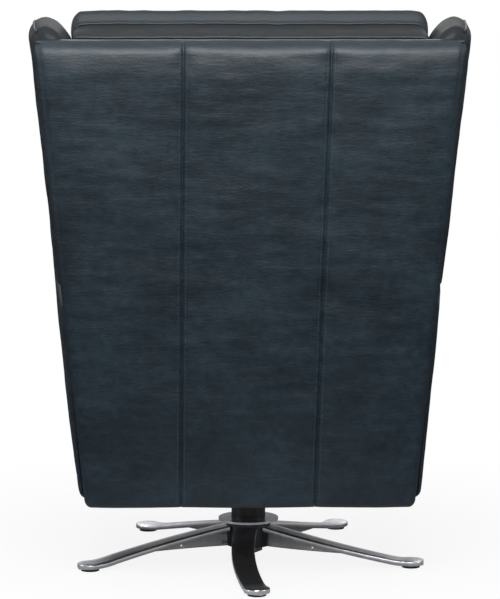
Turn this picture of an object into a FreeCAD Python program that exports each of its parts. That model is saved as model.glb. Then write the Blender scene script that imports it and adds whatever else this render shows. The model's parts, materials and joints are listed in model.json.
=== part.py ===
import FreeCAD, Part
import math
import os

# Star base swivel recliner. Millimetres, +Z up, the sitter faces -Y.
# The origin is on the floor under the swivel axis.
V = FreeCAD.Vector
X = V(1, 0, 0)
Z = V(0, 0, 1)

# Star base
leg_count = 5
foot_reach = 315  # swivel axis to the middle of a foot
foot_radius = 24
foot_top = 14
leg_width = 43
leg_bow = 14.5  # how far a leg's middle bows sideways
leg_root_shift = 3.5
leg_tip_shift = -12
leg_root_top = 66
flange_thickness = 9
web_thickness = 10
web_bottom = 26
web_fall = 4  # how much lower the web's bottom is where it fades into the flange
web_hole_reach = 130
web_hole_radius = 2.5
glide_radius = 17
glide_height = 5
glide_stem_radius = 4
glide_stem_length = 5

# Hub and swivel post
hub_radius = 42
hub_bore_radius = 27
hub_top = 74
hub_floor = 10
disc_radius = 56.5
disc_thickness = 4
post_radius = 17
post_nut_height = 12
post_nut_flats = 46
leg_bolt_radius = 4
leg_bolt_head_radius = 6.5
leg_bolt_head = 5
leg_bolt_length = 26
leg_bolt_spacing = 18
thrust_height = 3
sleeve_radius = 32
sleeve_wall = 10
bush_length = 24
column_top = 262  # underside of the mounting plate
retainer_height = 3
top_nut_height = 10
top_nut_radius = 20
running_gap = 0.05
axial_gap = 0.1

# Seat chassis
plate_length = 220
plate_width = 230
plate_thickness = 6
plate_hole_radius = 24
plate_bolt_spacing_x = 200
plate_bolt_spacing_y = 160
plate_bolt_radius = 4
tube_size = 30
tube_wall = 2
rail_front = -300
rail_rear = 190
seat_board_height = 45
seat_board_thickness = 40
seat_board_front = -318
seat_board_rear = 215
spring_wire = 3.5
spring_pitch = 22
spring_half_width = 24
seat_spring_count = 5
back_spring_count = 5

# Seat and arms
seat_half_width = 247  # inner face of an arm
seat_side_gap = 3
cushion_front = -405
cushion_rear = 238
cushion_thickness = 93
cushion_crown = 9
cushion_edge = 26
cushion_corner = 34
cushion_draw = 5
leather = 3
arm_front = -418
arm_bottom = 165
arm_top_rear = 548
arm_top_front = 575
arm_flare = math.tan(math.radians(3.8))
arm_top_round = 30
arm_bottom_round = 14
arm_front_round = 24
arm_side_bulge = 3
arm_board_thickness = 30
arm_board_bottom = 180
arm_board_top = 500
arm_board_front = -386
arm_board_rear = 236
arm_rear_gap = 6
arm_overhang = 8  # outside the back panel

# Back, built upright and then leaned
lean = 8
back_foot_y = 295  # rear surface of the back at its bottom edge
back_foot_z = 154
back_height = 852
back_half_bottom = seat_half_width + 49
back_spread = 0.0929  # half width gained per millimetre of height
back_pad = 24
back_pad_round = 18
back_pad_crown = 5
seam_left_bottom = 125
seam_left_top = 116
seam_right_bottom = 117
seam_right_top = 141
seam_depth = 4
back_board = 8
board_edge = 5
top_roll_height = 10
post_width = 36
post_depth = 36
post_outside = seat_half_width - 17
back_rail_height = 60
low_rail_bottom = 72
mid_rail_bottom = 380
post_top = back_height - 14
post_bottom = 6

# Wings
wing_thickness = 60
wing_top = back_height + 27
wing_bottom = 380
wing_round = 28
wing_side_bulge = 7
wing_depth_bottom = 262
wing_depth_top = 118
wing_overhang = 4
wing_gap = 8  # over the arm

# Back cushion and headrest
back_cushion_bottom = 309
back_cushion_top = back_height - 142
back_cushion_half_bottom = seat_half_width - 11
back_cushion_half_top = seat_half_width + 51
back_cushion_thickness = 100
back_cushion_crown = 12
headrest_bottom = back_height - 120
headrest_rear = 74
headrest_boxing_rear = back_height - 1
headrest_boxing_front = back_height + 4
headrest_boxing_depth = 86
headrest_crown_top = back_height + 25
headrest_depth = 122
headrest_half_bottom = seat_half_width + 49
headrest_half_top = seat_half_width + 67
headrest_end_round = 16
headrest_shoulder_drop = 10
headrest_front_round = 18
headrest_pivot_drop = 11
headrest_pivot_depth = 165
headrest_pin_radius = 5
headrest_plate_thickness = 5
headrest_plate_rise = 12
headrest_plate_height = 80
headrest_ear_height = 60
headrest_foot_width = 28
headrest_hinge_height = 17
headrest_hinge_x = 150
hinge_side_gap = 0.5

# Recline pivot
pivot_y = 247
pivot_z = 180
pivot_pin_radius = 8
pivot_bush_wall = 3
pivot_plate_thickness = 6
pivot_plate_radius = 16
pivot_plate_width = 110  # along the seat frame
pivot_plate_neck = 14
pivot_bush_reach = 16  # inward of the recline plate
recline_plate_thickness = 6

# Gas spring between the chassis and the back
gas_x = -150
gas_front_y = -60
gas_front_z = 200
gas_rear_y = 222
gas_rear_z = 260
gas_cylinder_radius = 11
gas_rod_radius = 5
gas_eye_radius = 11
gas_eye_width = 16
gas_stud_radius = 5
gas_rear_slack = 2
gas_cylinder_length = 190
gas_wall = 2
gas_bracket_thickness = 6
gas_stroke = 52
gas_piston = 12

# Footrest
rest_axis_y = -384
rest_axis_z = 346
rest_round = 24
rest_half_width = seat_half_width - 11
rest_bottom = 176
rest_pad_front = 24  # in front of the hinge axis
rest_pad_crown = 4
rest_edge = 22
rest_board_thickness = 10
rest_board_set_back = 18  # behind the hinge axis
rest_plate_thickness = 6
rest_plate_radius = 16
rest_plate_neck = 14
rest_pin_radius = 6
toe_axis_y = -354
toe_axis_z = 174
toe_gap = 4
toe_board_thickness = 8
toe_pad = 18
toe_length = 156
toe_half_width = rest_half_width - 10
toe_pin_radius = 3
toe_knuckle_radius = 6
toe_knuckle_length = 60

# Release lever on the inner face of the right arm
lever_y = -250
lever_z = 522
lever_shaft_radius = 6
lever_length = 74
lever_height = 16
lever_thickness = 9
bezel_length = 76
bezel_height = 40
bezel_thickness = 3
lever_shaft_length = 16

# Heights and places that follow from the sizes above
disc_bottom = hub_top
disc_top = disc_bottom + disc_thickness
thrust_top = disc_top + thrust_height
sleeve_bottom = thrust_top + axial_gap
sleeve_bore = sleeve_radius - sleeve_wall
plate_top = column_top + plate_thickness
rail_top = plate_top + tube_size
cross_top = rail_top + tube_size
seat_board_top = cross_top + seat_board_height
cushion_bottom = seat_board_top + spring_wire + 0.5
seat_side = seat_half_width - pivot_plate_thickness
rear_stack = back_pad + back_board


def save(name, shape):
    shape.exportStep("parts/" + name + ".step")


def box(x0, x1, y0, y1, z0, z1):
    return Part.makeBox(x1 - x0, y1 - y0, z1 - z0, V(x0, y0, z0))


def rod(radius, start, along, length):
    return Part.makeCylinder(radius, length, start, along)


def tube(outer, inner, start, along, length):
    return rod(outer, start, along, length).cut(rod(inner, start, along, length))


def bar_x(radius, y, z, x0, x1):
    return rod(radius, V(x0, y, z), X, x1 - x0)


def plate_x(points, x0, x1):
    """A flat plate across X from its outline in Y and Z."""
    outline = [V(x0, y, z) for y, z in points]
    face = Part.Face(Part.makePolygon(outline + outline[:1]))
    return face.extrude(V(x1 - x0, 0, 0))


def mirrored(shape):
    return shape.mirror(V(0, 0, 0), X)


def both_sides(shape):
    return Part.makeCompound([shape, mirrored(shape)])


def nut(flats, start, height, bore):
    corner = flats / math.sqrt(3)
    ring = [
        start + V(corner * math.cos(math.radians(60 * k)), corner * math.sin(math.radians(60 * k)), 0)
        for k in range(6)
    ]
    face = Part.Face(Part.makePolygon(ring + ring[:1]))
    return face.extrude(V(0, 0, height)).cut(rod(bore, start, Z, height))


def leaned(shape):
    """Leans a shape from upright back space, where Y 0 is the rear surface and Z 0 the bottom edge."""
    done = shape.copy()
    done.rotate(V(0, 0, 0), X, -lean)
    done.translate(V(0, back_foot_y, back_foot_z))
    return done


def lean_point(y, z):
    a = math.radians(lean)
    return (
        back_foot_y + y * math.cos(a) + z * math.sin(a),
        back_foot_z - y * math.sin(a) + z * math.cos(a),
    )


def back_plane_y(depth, z):
    """Where a plane at a depth inside the back's rear surface stands at a height above the floor."""
    tilt = math.radians(lean)
    return back_foot_y + (z - back_foot_z) * math.tan(tilt) - depth / math.cos(tilt)


def half_width(height):
    """Half width of the back panel at a height along the lean."""
    return back_half_bottom + back_spread * height


def loop(corners, radii, bulges, normal):
    """A closed wire with rounded corners, whose sides bow out by their bulge."""
    count = len(corners)
    enter, middle, leave = [], [], []
    for k in range(count):
        point = corners[k]
        back = (corners[k - 1] - point).normalize()
        ahead = (corners[(k + 1) % count] - point).normalize()
        half = back.getAngle(ahead) / 2
        inward = (back + ahead).normalize()
        enter.append(point + back * (radii[k] / math.tan(half)))
        leave.append(point + ahead * (radii[k] / math.tan(half)))
        middle.append(point + inward * (radii[k] / math.sin(half) - radii[k]))
    edges = []
    for k in range(count):
        after = (k + 1) % count
        edges.append(Part.Arc(enter[k], middle[k], leave[k]).toShape())
        start, end = leave[k], enter[after]
        if bulges[k]:
            outward = (end - start).cross(normal).normalize()
            crown = (start + end) * 0.5 + outward * bulges[k]
            edges.append(Part.Arc(start, crown, end).toShape())
        else:
            edges.append(Part.LineSegment(start, end).toShape())
    return Part.Wire(edges)


def loft(wires):
    return Part.makeLoft(wires, True, True)


def pillow(half0, half1, y0, y1, z0, z1, edge, crown, corner, draw):
    """A cushion whose sides draw in between its corners and whose top is crowned."""
    levels = [(z0, edge * 0.45), (z0 + edge * 0.2, edge * 0.12), (z0 + edge * 0.55, 0)]
    shoulder = z1 - crown
    for k in range(4):
        turn = math.radians(30 * k)
        levels.append((shoulder - edge * (1 - math.sin(turn)), edge * (1 - math.cos(turn))))
    dome = min(half0 + half1, y1 - y0) / 2 - edge - corner - 4
    for k in range(1, 4):
        levels.append((z1 - crown * (1 - k / 3) ** 2, edge + dome * k / 3))
    wires = []
    for level, inset in levels:
        points = [
            V(inset - half0, y0 + inset, level),
            V(half0 - inset, y0 + inset, level),
            V(half1 - inset, y1 - inset, level),
            V(inset - half1, y1 - inset, level),
        ]
        wires.append(loop(points, [corner] * 4, [-draw] * 4, Z))
    return loft(wires)


def covered(make):
    """A leather cover and the foam that fills it, from a form that takes how far it is drawn in."""
    foam = make(leather)
    skins = [make(0).Shells[0], foam.Shells[0].reversed()]
    return Part.makeSolid(Part.makeCompound(skins)), foam


def leg_arc(offset, top):
    """The centre line of a leg, moved sideways, as its two ends and its middle."""
    start = V(leg_root_shift, hub_bore_radius + 6, top)
    end = V(leg_tip_shift, foot_reach, top)
    along = end - start
    side = V(along.y, -along.x, 0).normalize()
    radius = (along.Length ** 2 / 4 + leg_bow ** 2) / (2 * leg_bow)
    crest = (start + end) * 0.5 + side * leg_bow
    centre = crest - side * radius
    return [p + (p - centre).normalize() * offset for p in (start, crest, end)]


def leg_strip(width, low, high):
    outer = leg_arc(width / 2, low)
    inner = leg_arc(-width / 2, low)
    edges = [
        Part.Arc(*outer).toShape(),
        Part.LineSegment(outer[2], inner[2]).toShape(),
        Part.Arc(inner[2], inner[1], inner[0]).toShape(),
        Part.LineSegment(inner[0], outer[0]).toShape(),
    ]
    return Part.Face(Part.Wire(edges)).extrude(V(0, 0, high - low))


def leg_slice():
    """Side view of the flange: a straight run that levels out into the foot."""
    bend_y = foot_reach - 46
    bend_z = foot_top + 5
    level_y = foot_reach - 8
    side = leg_width + foot_radius
    t = flange_thickness
    far = foot_reach + foot_radius + 4
    points = [
        (V(-side, 0, leg_root_top), V(-side, bend_y, bend_z)),
        (V(-side, level_y, foot_top), V(-side, far, foot_top)),
        (V(-side, far, foot_top - t), V(-side, level_y, foot_top - t)),
        (V(-side, bend_y, bend_z - t), V(-side, 0, leg_root_top - t)),
    ]
    bend_top = V(-side, (bend_y + level_y) / 2, (bend_z + foot_top) / 2 - 0.7)
    bend_low = bend_top - V(0, 0, t)
    edges = [
        Part.LineSegment(*points[0]).toShape(),
        Part.Arc(points[0][1], bend_top, points[1][0]).toShape(),
        Part.LineSegment(*points[1]).toShape(),
        Part.LineSegment(points[1][1], points[2][0]).toShape(),
        Part.LineSegment(*points[2]).toShape(),
        Part.Arc(points[2][1], bend_low, points[3][0]).toShape(),
        Part.LineSegment(*points[3]).toShape(),
        Part.LineSegment(points[3][1], points[0][0]).toShape(),
    ]
    return Part.Face(Part.Wire(edges)).extrude(V(2 * side, 0, 0))


def star_leg():
    """One cast leg along +Y: a flat flange over a tapering web."""
    foot = rod(foot_radius, V(leg_tip_shift, foot_reach, 0), Z, leg_root_top + 1)
    plan = leg_strip(leg_width, 0, leg_root_top + 1).fuse(foot)
    flange = plan.common(leg_slice())
    slope = (leg_root_top - foot_top - 5) / (foot_reach - 46)
    under_root = leg_root_top - flange_thickness
    reach = (under_root - web_bottom + web_fall) / slope
    web_side = plate_x(
        [(0, web_bottom), (reach, web_bottom - web_fall), (reach, web_bottom - web_fall + 1), (0, under_root + 1)],
        -leg_width,
        leg_width,
    )
    web = leg_strip(web_thickness, 0, leg_root_top).common(web_side)
    leg = flange.fuse(web).removeSplitter()
    leg = leg.cut(rod(hub_radius, V(0, 0, 0), Z, leg_root_top + 1))
    hole = bar_x(web_hole_radius, web_hole_reach, (web_bottom + leg_root_top) / 2 - 9, -leg_width, leg_width)
    leg = leg.cut(hole)
    stem = rod(glide_stem_radius, V(leg_tip_shift, foot_reach, 0), Z, glide_height + glide_stem_length)
    leg = leg.cut(stem)
    for height in bolt_heights():
        leg = leg.cut(leg_bolt(height))
    return leg


def bolt_heights():
    middle = (web_bottom + leg_root_top - flange_thickness) / 2
    return (middle - leg_bolt_spacing / 2, middle + leg_bolt_spacing / 2)


def leg_bolt(height):
    """A radial screw that pulls a leg onto the hub, with its head inside the bore."""
    seat = V(leg_root_shift, hub_bore_radius, height)
    head = rod(leg_bolt_head_radius, seat - V(0, leg_bolt_head, 0), V(0, 1, 0), leg_bolt_head)
    shank = rod(leg_bolt_radius, seat, V(0, 1, 0), leg_bolt_length)
    return head.fuse(shank)


def around(shape, k):
    """A copy turned to the place of leg k, where leg 0 points at +Y."""
    done = shape.copy()
    done.rotate(V(0, 0, 0), Z, 360 / leg_count * k)
    return done


def build_base():
    leg = star_leg()
    glide = rod(glide_radius, V(leg_tip_shift, foot_reach, 0), Z, glide_height).fuse(
        rod(glide_stem_radius, V(leg_tip_shift, foot_reach, 0), Z, glide_height + glide_stem_length)
    )
    bolts = []
    hub = rod(hub_radius, V(0, 0, web_bottom), Z, hub_top - web_bottom)
    bore_height = hub_top - web_bottom - hub_floor
    hub = hub.cut(rod(hub_bore_radius, V(0, 0, web_bottom + hub_floor), Z, bore_height))
    hub = hub.cut(rod(post_radius, V(0, 0, web_bottom), Z, hub_floor))
    for k in range(leg_count):
        save("star_leg_%d" % (k + 1), around(leg, k))
        for height in bolt_heights():
            bolt = around(leg_bolt(height), k)
            bolts.append(bolt)
            hub = hub.cut(bolt)
    save("hub_core", hub)
    save("leg_bolts", Part.makeCompound(bolts))
    save("foot_glides", Part.makeCompound([around(glide, k) for k in range(leg_count)]))
    save("hub_disc", tube(disc_radius, post_radius, V(0, 0, disc_bottom), Z, disc_thickness))
    post_top = column_top + retainer_height + top_nut_height
    save("spindle_post", rod(post_radius, V(0, 0, web_bottom - post_nut_height), Z,
                             post_top - web_bottom + post_nut_height))
    save("spindle_foot_nut", nut(post_nut_flats, V(0, 0, web_bottom - post_nut_height),
                                 post_nut_height, post_radius))
    save("thrust_bearing", tube(sleeve_radius, post_radius, V(0, 0, disc_top), Z, thrust_height))
    washer_bottom = V(0, 0, column_top + axial_gap)
    washer = tube(sleeve_bore, post_radius, washer_bottom, Z, retainer_height - axial_gap)
    ring = tube(top_nut_radius, post_radius, V(0, 0, column_top + retainer_height), Z, top_nut_height)
    save("spindle_top_nut", washer.fuse(ring))


def build_column():
    height = column_top - sleeve_bottom
    save("swivel_sleeve", tube(sleeve_radius, sleeve_bore, V(0, 0, sleeve_bottom), Z, height))
    bushes = [
        tube(sleeve_bore, post_radius + running_gap, V(0, 0, z), Z, bush_length)
        for z in (sleeve_bottom, column_top - bush_length)
    ]
    save("sleeve_bushes", Part.makeCompound(bushes))
    plate = box(-plate_width / 2, plate_width / 2, -plate_length / 2, plate_length / 2,
                column_top, plate_top)
    plate = plate.cut(rod(plate_hole_radius, V(0, 0, column_top), Z, plate_thickness))
    bolts = []
    for x in (-plate_bolt_spacing_x / 2, plate_bolt_spacing_x / 2):
        for y in (-plate_bolt_spacing_y / 2, plate_bolt_spacing_y / 2):
            start = V(x, y, column_top)
            bolt = rod(plate_bolt_radius * 1.7, start - V(0, 0, 6), Z, 6).fuse(
                rod(plate_bolt_radius, start, Z, plate_thickness + tube_wall)
            )
            bolts.append(bolt)
            plate = plate.cut(bolt)
    save("mount_plate", plate)
    save("mount_bolts", Part.makeCompound(bolts))
    return bolts


def hollow_bar(x0, x1, y0, y1, z0, z1, along):
    """A square steel tube open at both ends."""
    w = tube_wall
    if along == "x":
        return box(x0, x1, y0, y1, z0, z1).cut(box(x0, x1, y0 + w, y1 - w, z0 + w, z1 - w))
    return box(x0, x1, y0, y1, z0, z1).cut(box(x0 + w, x1 - w, y0, y1, z0 + w, z1 - w))


def build_chassis(bolts):
    rails = []
    for side in (-1, 1):
        middle = side * plate_bolt_spacing_x / 2
        rails.append(hollow_bar(middle - tube_size / 2, middle + tube_size / 2, rail_front, rail_rear,
                                plate_top, rail_top, "y"))
    for y in (rail_front, rail_rear - tube_size):
        rails.append(hollow_bar(-seat_side, seat_side, y, y + tube_size, rail_top, cross_top, "x"))
    hanger_x = -plate_bolt_spacing_x / 2 - tube_size / 2
    hanger = box(hanger_x - gas_bracket_thickness, hanger_x, gas_front_y - 20, gas_front_y + 20,
                 gas_front_z - 14, rail_top)
    stud_end = gas_x - gas_eye_width / 2 - 3
    stud = bar_x(gas_stud_radius, gas_front_y, gas_front_z, stud_end, hanger_x - gas_bracket_thickness)
    frame = rails[0].fuse(rails[1:] + [hanger, stud])
    for bolt in bolts:
        frame = frame.cut(bolt)
    save("seat_chassis", frame)


def wave_spring(length, crossing):
    """A zigzag spring wire along +X from the origin, in the XY plane."""
    turns = int(length // spring_pitch)
    step = length / turns
    r = step / 2
    reach = spring_half_width - r
    edges = [Part.LineSegment(V(0, 0, 0), V(0, reach, 0)).toShape()]
    side = 1
    for k in range(turns):
        x = k * step
        top = V(x + r, side * (reach + r), 0)
        edges.append(Part.Arc(V(x, side * reach, 0), top, V(x + step, side * reach, 0)).toShape())
        end = -side * reach if k < turns - 1 else 0
        edges.append(Part.LineSegment(V(x + step, side * reach, 0), V(x + step, end, 0)).toShape())
        side = -side
    path = Part.Wire(edges)
    circle = Part.Wire(Part.Circle(V(0, 0, 0), V(0, 1, 0), spring_wire / 2).toShape())
    wire = path.makePipeShell([circle], True, False)
    wire.rotate(V(0, 0, 0), Z, crossing)
    return wire


def build_seat():
    low, high = cross_top, seat_board_top
    t = seat_board_thickness
    front, rear = seat_board_front, seat_board_rear
    side = seat_side
    boards = [box(x, x + t, front, rear, low, high) for x in (-side, side - t)]
    boards += [box(-side + t, side - t, y, y + t, low, high) for y in (front, rear - t)]
    save("seat_frame_boards", Part.makeCompound(boards))
    spring = wave_spring(rear - front - t, 90)
    springs = []
    for k in range(seat_spring_count):
        x = (k - (seat_spring_count - 1) / 2) * (2 * side - 2 * t) / seat_spring_count
        copy = spring.copy()
        copy.translate(V(x, front + t / 2, high + spring_wire / 2))
        springs.append(copy)
    save("seat_springs", Part.makeCompound(springs))

    def form(inset):
        half = seat_half_width - seat_side_gap - inset
        return pillow(half, half, cushion_front + inset, cushion_rear - inset, cushion_bottom + inset,
                      cushion_bottom + cushion_thickness + cushion_crown - inset,
                      cushion_edge - inset, cushion_crown, cushion_corner - inset, cushion_draw)

    cover, foam = covered(form)
    save("seat_cushion", cover)
    save("seat_foam", foam)


def arm_top(y):
    rear_y = lean_point(-rear_stack, 0)[0]
    return arm_top_rear + (arm_top_front - arm_top_rear) * (rear_y - y) / (rear_y - arm_front)


def side_reach(y, z):
    """Outer face of an arm: it leans out like the back panel and flares forward."""
    return half_width(z - back_foot_z) + arm_overhang + (back_foot_y - y) * arm_flare


def arm_form(inset):
    """An arm as sections from front to rear, of which the last follows the back's lean."""
    stations = []
    for k in range(4):
        turn = math.radians(30 * k)
        draw = arm_front_round * (1 - math.sin(turn)) * 0.6
        y = arm_front + arm_front_round * (1 - math.cos(turn)) + inset
        stations.append((lambda z, y=y: y, draw, V(0, -1, 0)))
    tilt = math.radians(lean)
    gap = rear_stack + arm_rear_gap + inset
    stations.append((lambda z: back_plane_y(gap, z), 0, V(0, -math.cos(tilt), math.sin(tilt))))
    low = arm_bottom + inset
    wires = []
    for place, draw, facing in stations:
        high = arm_top(place(arm_top_rear)) - inset - draw
        inner = seat_half_width + inset
        y_low, y_high = place(low + draw), place(high)
        points = [
            V(inner, y_low, low + draw),
            V(side_reach(y_low, low) - inset - draw, y_low, low + draw),
            V(side_reach(y_high, high) - inset - draw, y_high, high),
            V(inner, y_high, high),
        ]
        radii = [r - inset for r in (arm_bottom_round, arm_bottom_round, arm_top_round, arm_top_round)]
        wires.append(loop(points, radii, [0, arm_side_bulge, arm_side_bulge, 0], facing))
    return loft(wires)


def arm_board():
    """The wooden side frame inside an arm, with two windows."""
    x0 = seat_half_width + leather
    x1 = x0 + arm_board_thickness
    board = box(x0, x1, arm_board_front, arm_board_rear, arm_board_bottom, arm_board_top)
    rib = 70
    middle = (arm_board_front + arm_board_rear) / 2
    for y0, y1 in ((arm_board_front + rib, middle - rib / 2), (middle + rib / 2, arm_board_rear - rib)):
        board = board.cut(box(x0, x1, y0, y1, arm_board_bottom + 1.2 * rib, arm_board_top - rib))
    return board


def build_arms():
    cover, foam = covered(arm_form)
    board = arm_board()
    rest_pin = bar_x(rest_pin_radius, rest_axis_y, rest_axis_z, rest_half_width,
                     seat_half_width + leather + arm_board_thickness / 2)
    foam = foam.cut(board).cut(rest_pin)
    shaft_hole = bar_x(lever_shaft_radius + 1, lever_y, lever_z,
                       -seat_half_width - lever_shaft_length - 2, -seat_half_width)
    cover = cover.cut(rest_pin)
    board = board.cut(rest_pin)
    save("arm_frame_left", board)
    save("arm_frame_right", mirrored(board))
    save("arm_cover_left", cover)
    save("arm_cover_right", mirrored(cover).cut(shaft_hole))
    save("arm_foams", Part.makeCompound([foam, mirrored(foam).cut(shaft_hole)]))
    save("footrest_pins", both_sides(rest_pin))


def build_pivot():
    """Fixed plates on the seat sides, the pins in them, and the back's plates and bushes round the pins."""
    inner = seat_side
    outer = seat_half_width
    neck = pivot_plate_neck
    bush_start = post_outside - pivot_bush_reach
    outline = [
        (seat_board_rear - pivot_plate_width, seat_board_top),
        (seat_board_rear - pivot_plate_width, cross_top),
        (pivot_y - neck, pivot_z - neck * 0.6),
        (pivot_y + neck * 0.6, pivot_z - neck),
        (pivot_y + neck, pivot_z + neck * 0.6),
        (seat_board_rear, cross_top),
        (seat_board_rear, seat_board_top),
    ]
    plate = plate_x(outline, inner, outer).fuse(bar_x(pivot_plate_radius, pivot_y, pivot_z, inner, outer))
    pin = bar_x(pivot_pin_radius, pivot_y, pivot_z, bush_start, outer)
    save("pivot_plates", both_sides(plate.cut(pin)))
    save("recline_pins", both_sides(pin))
    bush_outer = pivot_pin_radius + pivot_bush_wall
    bush_length = pivot_bush_reach + recline_plate_thickness
    bush = tube(bush_outer, pivot_pin_radius + running_gap, V(bush_start, pivot_y, pivot_z), X, bush_length)
    save("recline_bushes", both_sides(bush))
    arm = leaned(box(post_outside, post_outside + recline_plate_thickness,
                     -rear_stack - post_depth + 2, -rear_stack - 2, 0, low_rail_bottom + back_rail_height))
    hole = bar_x(bush_outer, pivot_y, pivot_z, bush_start, bush_start + bush_length)
    save("recline_plates", both_sides(arm.cut(hole)))
    return both_sides(hole)


def outer_back_form(inset):
    """The padded outer back: three panels that crown between two sewn seams."""
    roll = back_pad_round
    tall = back_height - 2 * inset
    thick = back_pad - 2 * inset
    rows = []
    for k in range(4):
        turn = math.radians(30 * k)
        rows.append((roll * 0.6 * (1 - math.cos(turn)), 0.45 * (1 - math.sin(turn))))
    for k in range(4):
        turn = math.radians(30 * k)
        rows.append((tall - roll * (1 - math.sin(turn)), 0.8 * (1 - math.cos(turn))))
    wires = []
    front = inset - back_pad
    for height, drawn in rows:
        share = height / tall
        level = inset + height
        half = half_width(level) - inset - roll * drawn * 0.4
        rear = front + thick * (1 - drawn)
        left = seam_left_bottom + (seam_left_top - seam_left_bottom) * share
        right = -seam_right_bottom - (seam_right_top - seam_right_bottom) * share
        r = (rear - front) * 0.4
        deep = rear - seam_depth * (1 - drawn)
        stops = [V(half - r, rear, level), V(left, deep, level), V(right, deep, level), V(r - half, rear, level)]
        corner = r * (1 - math.sqrt(0.5))
        edges = [
            Part.LineSegment(V(-half, front, level), V(half, front, level)).toShape(),
            Part.LineSegment(V(half, front, level), V(half, rear - r, level)).toShape(),
            Part.Arc(V(half, rear - r, level), V(half - corner, rear - corner, level), stops[0]).toShape(),
        ]
        for start, end in zip(stops, stops[1:]):
            crest = (start + end) * 0.5
            crest.y = rear + back_pad_crown * (1 - drawn)
            edges.append(Part.Arc(start, crest, end).toShape())
        edges += [
            Part.Arc(stops[3], V(corner - half, rear - corner, level), V(-half, rear - r, level)).toShape(),
            Part.LineSegment(V(-half, rear - r, level), V(-half, front, level)).toShape(),
        ]
        wires.append(Part.Wire(edges))
    return loft(wires)


def wing_depth(height):
    share = min(max((height - wing_bottom) / (back_height - wing_bottom), 0), 1)
    return wing_depth_top + (wing_depth_bottom - wing_depth_top) * (1 - share) ** 1.5


def wing_form(inset):
    """A wing as sections up the lean, rolled over at its top and cut off below to clear the arm."""
    top = wing_top - inset
    roll = wing_round - inset
    start = wing_bottom - wing_round
    rows = [(start + (top - roll - start) * k / 6, 0) for k in range(6)]
    for k in range(4):
        turn = math.radians(30 * k)
        rows.append((top - roll * (1 - math.sin(turn)), roll * (1 - math.cos(turn))))
    rear = -rear_stack - inset
    wires = []
    for height, draw in rows:
        depth = wing_depth(height) - inset
        front = -rear_stack - depth + draw * 1.6
        inner = half_width(height) - wing_thickness + inset + draw
        outer = half_width(height) + wing_overhang - inset - draw
        points = [
            V(inner, front, height),
            V(outer + depth * arm_flare, front, height),
            V(outer, rear - draw * 0.5, height),
            V(inner, rear - draw * 0.5, height),
        ]
        near, far = (22 - inset, 6) if draw < 20 else (1.6, 1.2)
        spare = (points[1].x - points[0].x) * 0.42
        near = min(near, spare)
        wires.append(loop(points, [near, near, far, far], [3, wing_side_bulge * (1 - draw / 40), 0, 0], Z))
    solid = leaned(loft(wires))
    rear_y = lean_point(-rear_stack, 0)[0]
    fall = (arm_top_front - arm_top_rear) / (rear_y - arm_front)
    lift = wing_gap + inset
    profile = [(y, arm_top_rear + (rear_y - y) * fall + lift) for y in (-600, 700)]
    profile += [(700, 0), (-600, 0)]
    return solid.cut(plate_x(profile, 0, 600))


def back_cushion_form(inset):
    y0 = back_cushion_bottom + inset
    y1 = back_cushion_top - inset
    top = back_cushion_thickness + back_cushion_crown - inset
    shape = pillow(back_cushion_half_bottom - inset, back_cushion_half_top - inset, y0, y1, inset, top,
                   cushion_edge - inset, back_cushion_crown, cushion_corner - inset, cushion_draw)
    shape.rotate(V(0, 0, 0), X, 90)
    shape.translate(V(0, -rear_stack - post_depth - spring_wire - 1, 0))
    return leaned(shape)


def headrest_form(inset):
    """A boxed headrest whose front panel crowns forward and up over its boxing."""
    rear = -headrest_rear - inset
    edge = -headrest_rear - headrest_boxing_depth
    front = -headrest_rear - headrest_depth + inset
    low = headrest_bottom + inset
    spread = (headrest_half_top - headrest_half_bottom) / (headrest_boxing_rear - headrest_bottom)
    rows = []
    for k in range(4):
        turn = math.radians(30 * k)
        rows.append((headrest_end_round * (1 - math.cos(turn)), headrest_end_round * (1 - math.sin(turn)) * 0.7))
    places = [(-1, off, draw) for off, draw in rows] + [(1, off, draw) for off, draw in reversed(rows)]
    wires = []
    for side, off, draw in places:

        def at(y, z):
            return V(side * (headrest_half_bottom + spread * (z - headrest_bottom) - inset - off), y, z)

        top_rear = headrest_boxing_rear - inset - draw
        top_front = headrest_boxing_front - inset - draw
        face = front + draw
        shoulder = top_front - headrest_shoulder_drop
        corners = [
            at(rear - draw, low + draw),
            at(rear - draw, top_rear),
            at(edge, top_front),
            at(face + 2, shoulder),
            at(face + 4, low + headrest_front_round),
            at(face + headrest_front_round, low + draw),
        ]
        crest = at((edge + face) / 2, headrest_crown_top - inset - draw)
        belly = at(face, (low + shoulder) / 2)
        wires.append(Part.Wire([
            Part.LineSegment(corners[0], corners[1]).toShape(),
            Part.LineSegment(corners[1], corners[2]).toShape(),
            Part.Arc(corners[2], crest, corners[3]).toShape(),
            Part.Arc(corners[3], belly, corners[4]).toShape(),
            Part.LineSegment(corners[4], corners[5]).toShape(),
            Part.LineSegment(corners[5], corners[0]).toShape(),
        ]))
    return leaned(loft(wires))


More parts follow.
